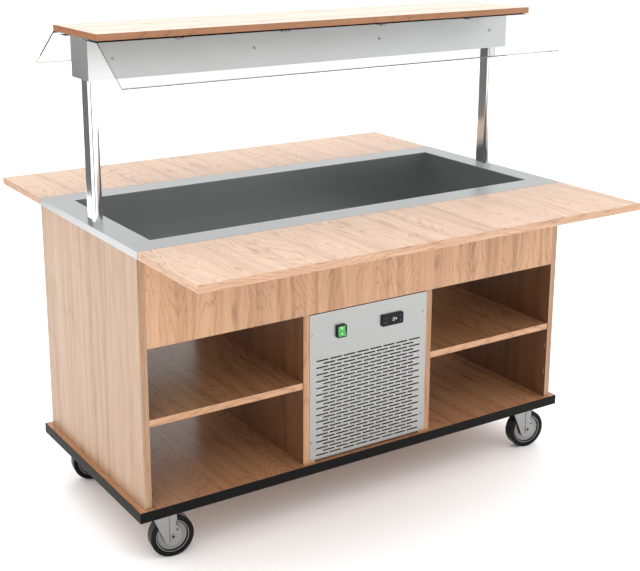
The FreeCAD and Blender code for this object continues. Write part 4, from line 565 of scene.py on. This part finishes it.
# Sizes and places of the marks, in mm.
FRONT, REAR = -1, 1
RAY_START = 800.0
MARK_LIFT, RECESS_LIFT, MARK_ROOT = 0.06, 0.03, 0.05
DIGIT_WIDTH, DIGIT_HEIGHT, BAR = 4.6, 9.0, 1.0
LYING_CUT, STANDING_CUT, LEAN = 1.2, 0.4, 0.10
TENS_X, ONES_X, DIGITS_Z = 82.0, 90.0, 575.0
TENS_SEGMENTS, ONES_SEGMENTS = "abcdef", "bcfg"
ARROW_HALF, ARROW_BASE, ARROW_TIP = 1.7, 1.2, 1.6
PANEL_SCREW_X, PANEL_SCREW_HEIGHTS = 198.5, (245.0, 574.0)
LAMP_SCREW_PLACES, LAMP_SCREW_Z = (-653.4, -217.8, 217.8, 653.4), 1358.0
RECESS_REACH, RECESS_WIDTH = 1.9, 0.75

# Each segment's middle, in digit widths and half heights, and whether it lies flat.
SEGMENTS = {
    "a": (0, 1, 1), "b": (0.5, 0.5, 0), "c": (0.5, -0.5, 0), "d": (0, -1, 1),
    "e": (-0.5, -0.5, 0), "f": (-0.5, 0.5, 0), "g": (0, 0, 1),
}


def surface_of(name):
    """A node's mesh, ready for rays."""
    mesh = nodes[name].data
    corners = [vertex.co for vertex in mesh.vertices]
    return BVHTree.FromPolygons(corners, [tuple(face.vertices) for face in mesh.polygons])


def middle(name):
    """The middle of a node's box in X and Z, in mm."""
    low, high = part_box(name)
    return (low.x + high.x) / 2 / MM, (low.z + high.z) / 2 / MM


def mark(piece, outlines, node_name, body, finish, side=FRONT, lift=MARK_LIFT):
    """Thin raised shapes on a node's front or rear face.

    Each outline is a closed list of (x, z) in mm; its corners are laid on the node's surface."""
    surface = surface_of(node_name)
    away = Vector((0, side, 0))
    shape = bmesh.new()
    for outline in outlines:
        front, back = [], []
        for x, z in outline:
            start = Vector((x * MM, side * RAY_START * MM, z * MM))
            place = surface.ray_cast(start, -away)[0]
            front.append(shape.verts.new(place + away * lift * MM))
            back.append(shape.verts.new(place - away * MARK_ROOT * MM))
        shape.faces.new(front)
        shape.faces.new(back[::-1])
        for index in range(len(front)):
            after = (index + 1) % len(front)
            shape.faces.new((front[after], front[index], back[index], back[after]))
    bmesh.ops.recalc_face_normals(shape, faces=shape.faces)
    mesh = bpy.data.meshes.new(piece)
    shape.to_mesh(mesh)
    shape.free()
    mesh.materials.append(materials[finish])
    made = bpy.data.objects.new(piece, mesh)
    bpy.context.scene.collection.objects.link(made)
    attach(made, body)


def block(x, z, width, height):
    """A rectangle round a middle."""
    return [(x - width / 2, z - height / 2), (x + width / 2, z - height / 2),
            (x + width / 2, z + height / 2), (x - width / 2, z + height / 2)]


def ring(x, z, outer, inner, parts=20, start=0.0, sweep=360.0):
    """A ring, or a part of one, as a row of four-sided pieces."""
    angles = [math.radians(start + sweep * index / parts) for index in range(parts + 1)]
    pieces = []
    for first, second in zip(angles, angles[1:]):
        corners = ((outer, first), (outer, second), (inner, second), (inner, first))
        pieces.append([
            (x + radius * math.cos(angle), z + radius * math.sin(angle)) for radius, angle in corners])
    return pieces


def cross(x, z, reach, width):
    """A cross recess, turned by its own angle as a driven screw is."""
    half = width / 2
    plain = [
        (half, half), (half, reach), (-half, reach), (-half, half),
        (-reach, half), (-reach, -half), (-half, -half), (-half, -reach),
        (half, -reach), (half, -half), (reach, -half), (reach, half),
    ]
    turn = math.radians(18 + 31 * math.sin(x * 0.7 + z))
    cosine, sine = math.cos(turn), math.sin(turn)
    return [(x + a * cosine - b * sine, z + a * sine + b * cosine) for a, b in plain]


def digit(x, z, lit_segments):
    """A seven-segment digit that leans a little."""
    shapes = []
    for letter in lit_segments:
        across, up, lying = SEGMENTS[letter]
        middle_x, middle_z = x + across * DIGIT_WIDTH, z + up * DIGIT_HEIGHT / 2
        if lying:
            outline = block(middle_x, middle_z, DIGIT_WIDTH - LYING_CUT, BAR)
        else:
            outline = block(middle_x, middle_z, BAR, DIGIT_HEIGHT / 2 - STANDING_CUT)
        shapes.append([(a + (b - z) * LEAN, b) for a, b in outline])
    return shapes


def add_digits():
    """Two lit digits on the thermostat."""
    digits = digit(TENS_X, DIGITS_Z, TENS_SEGMENTS) + digit(ONES_X, DIGITS_Z, ONES_SEGMENTS)
    mark("thermostat_digits", digits, "thermostat_housing", "cabinet", "mark_white")


def key_sign(key, outlines):
    """A sign on one of the thermostat's keys."""
    mark(key + "_sign", outlines, "thermostat_" + key, key, "mark_violet")


def add_key_signs():
    """An arrow up, an arrow down, a ring and a broken ring with a bar on the four keys."""
    x, z = middle("thermostat_key_up")
    key_sign("key_up", [[
        (x - ARROW_HALF, z - ARROW_BASE), (x + ARROW_HALF, z - ARROW_BASE), (x, z + ARROW_TIP)]])
    x, z = middle("thermostat_key_down")
    key_sign("key_down", [[
        (x - ARROW_HALF, z + ARROW_BASE), (x, z - ARROW_TIP), (x + ARROW_HALF, z + ARROW_BASE)]])
    x, z = middle("thermostat_key_set")
    key_sign("key_set", ring(x, z, outer=1.6, inner=0.9, parts=16))
    x, z = middle("thermostat_key_power")
    broken_ring = ring(x, z - 0.2, outer=1.7, inner=1.1, parts=14, start=125, sweep=290)
    key_sign("key_power", broken_ring + [block(x, z + 1.1, width=0.6, height=2.0)])


def add_rocker_signs():
    """A bar and a ring on the two halves of the rocker."""
    x, z = middle("switch_rocker")
    signs = [block(x, z - 8.5, width=1.6, height=6.5)] + ring(x, z + 8.5, outer=3.0, inner=2.0)
    mark("rocker_signs", signs, "switch_rocker", "switch_rocker", "mark_white")


def add_screw_recesses():
    """Cross recesses in the screw heads of the vent panels and the light box, front and rear, drawn as
    thin near-black crosses of painted shade.
    """
    places = [(x, z) for x in (-PANEL_SCREW_X, PANEL_SCREW_X) for z in PANEL_SCREW_HEIGHTS]
    places += [(x, LAMP_SCREW_Z) for x in LAMP_SCREW_PLACES]
    for side, word in ((FRONT, "front"), (REAR, "rear")):
        recesses = [cross(x, z, RECESS_REACH, RECESS_WIDTH) for x, z in places]
        mark(word + "_screw_recesses", recesses, "pan_head_screws", "cabinet", "recess_dark",
             side, RECESS_LIFT)


add_digits()
add_key_signs()
add_rocker_signs()
add_screw_recesses()

# ---------------------------------------------------------------- camera, floor and light

IMAGE_WIDTH, IMAGE_HEIGHT = 640, 571
FOCAL_PIXELS = 1220.06
PRINCIPAL = (300.0, 220.0)
SENSOR = 36.0
CAMERA_PLACE = Vector((-1967.6, -3051.2, 1773.1)) * MM
CAMERA_AZIMUTH, CAMERA_DROP = math.radians(32.44), math.radians(14.84)
FLOOR_HALF = 40.0
HORIZON_LIGHT, ZENITH_LIGHT = 1.05, 2.2


def add_object(name, corners):
    """An object with one four-sided face, for the studio."""
    mesh = bpy.data.meshes.new(name)
    mesh.from_pydata(corners, [], [(0, 1, 2, 3)])
    made = bpy.data.objects.new(name, mesh)
    bpy.context.scene.collection.objects.link(made)
    return made


def add_camera():
    """The camera at the photograph's place, with the small shift of its framing."""
    data = bpy.data.cameras.new("camera")
    data.sensor_width = SENSOR
    data.lens = FOCAL_PIXELS / IMAGE_WIDTH * SENSOR
    data.shift_x = (IMAGE_WIDTH / 2 - PRINCIPAL[0]) / IMAGE_WIDTH
    data.shift_y = (PRINCIPAL[1] - IMAGE_HEIGHT / 2) / IMAGE_WIDTH
    data.clip_end = 100.0
    camera = bpy.data.objects.new("camera", data)
    bpy.context.scene.collection.objects.link(camera)
    look = Vector((
        math.sin(CAMERA_AZIMUTH) * math.cos(CAMERA_DROP),
        math.cos(CAMERA_AZIMUTH) * math.cos(CAMERA_DROP),
        -math.sin(CAMERA_DROP),
    ))
    camera.rotation_euler = look.to_track_quat("-Z", "Y").to_euler()
    camera.location = CAMERA_PLACE
    bpy.context.scene.camera = camera


def add_floor():
    """A plain pale floor, large enough to fill every view."""
    half = FLOOR_HALF
    floor = add_object("floor", [(-half, -half, 0), (half, -half, 0), (half, half, 0), (-half, half, 0)])
    made = material("floor", Roughness=0.9, Base_Color=grey(0.90), Specular_IOR_Level=0.1)[0]
    floor.data.materials.append(made)


def add_card(name, turn, distance, width, bottom, top, level):
    """An upright studio card that only gloss sees, in metres.

    Its turn is in degrees from +Y towards +X, and its level is how light its grey is."""
    angle = math.radians(turn)
    centre = Vector((math.sin(angle), math.cos(angle), 0)) * distance
    half = Vector((math.cos(angle), -math.sin(angle), 0)) * width / 2
    low, high = Vector((0, 0, bottom)), Vector((0, 0, top))
    corners = [centre - half + low, centre + half + low, centre + half + high, centre - half + high]
    card = add_object(name, corners)
    made = material(name, Roughness=1.0, Base_Color=grey(level), Specular_IOR_Level=0.0)[0]
    card.data.materials.append(made)
    card.visible_camera = card.visible_diffuse = False
    card.visible_transmission = card.visible_shadow = False


def add_cards():
    """Cards that give the polished posts and the steel ends their dark bands."""
    add_card("grey_card", turn=-40.0, distance=1.9, width=2.2, bottom=0.62, top=1.45, level=0.15)
    add_card("left_flag", turn=-126.0, distance=4.0, width=0.9, bottom=0.01, top=1.6, level=0.02)
    add_card("right_flag", turn=84.0, distance=3.4, width=0.55, bottom=0.01, top=1.6, level=0.02)


def add_world():
    """A white studio tent; matt surfaces are lit more from above than from the horizon."""
    world = bpy.data.worlds.new("studio")
    bpy.context.scene.world = world
    world.use_nodes = True
    tree = world.node_tree
    height = separated(tree, node(tree, "TexCoord").outputs["Generated"])["Z"]
    path = node(tree, "LightPath").outputs
    sky = grey_ramp(tree, height, [(0.1, HORIZON_LIGHT / ZENITH_LIGHT), (0.85, 1.0)])
    soft = mix(tree, "MULTIPLY", 1.0, sky, grey(ZENITH_LIGHT))
    seen = mix(tree, "MIX", path["Is Diffuse Ray"], grey(1.0), soft)
    tree.links.new(seen, tree.nodes["Background"].inputs["Color"])
    world.cycles.sampling_method = "NONE"


add_camera()
add_floor()
add_cards()
add_world()
bpy.context.scene.view_settings.view_transform = "Standard"
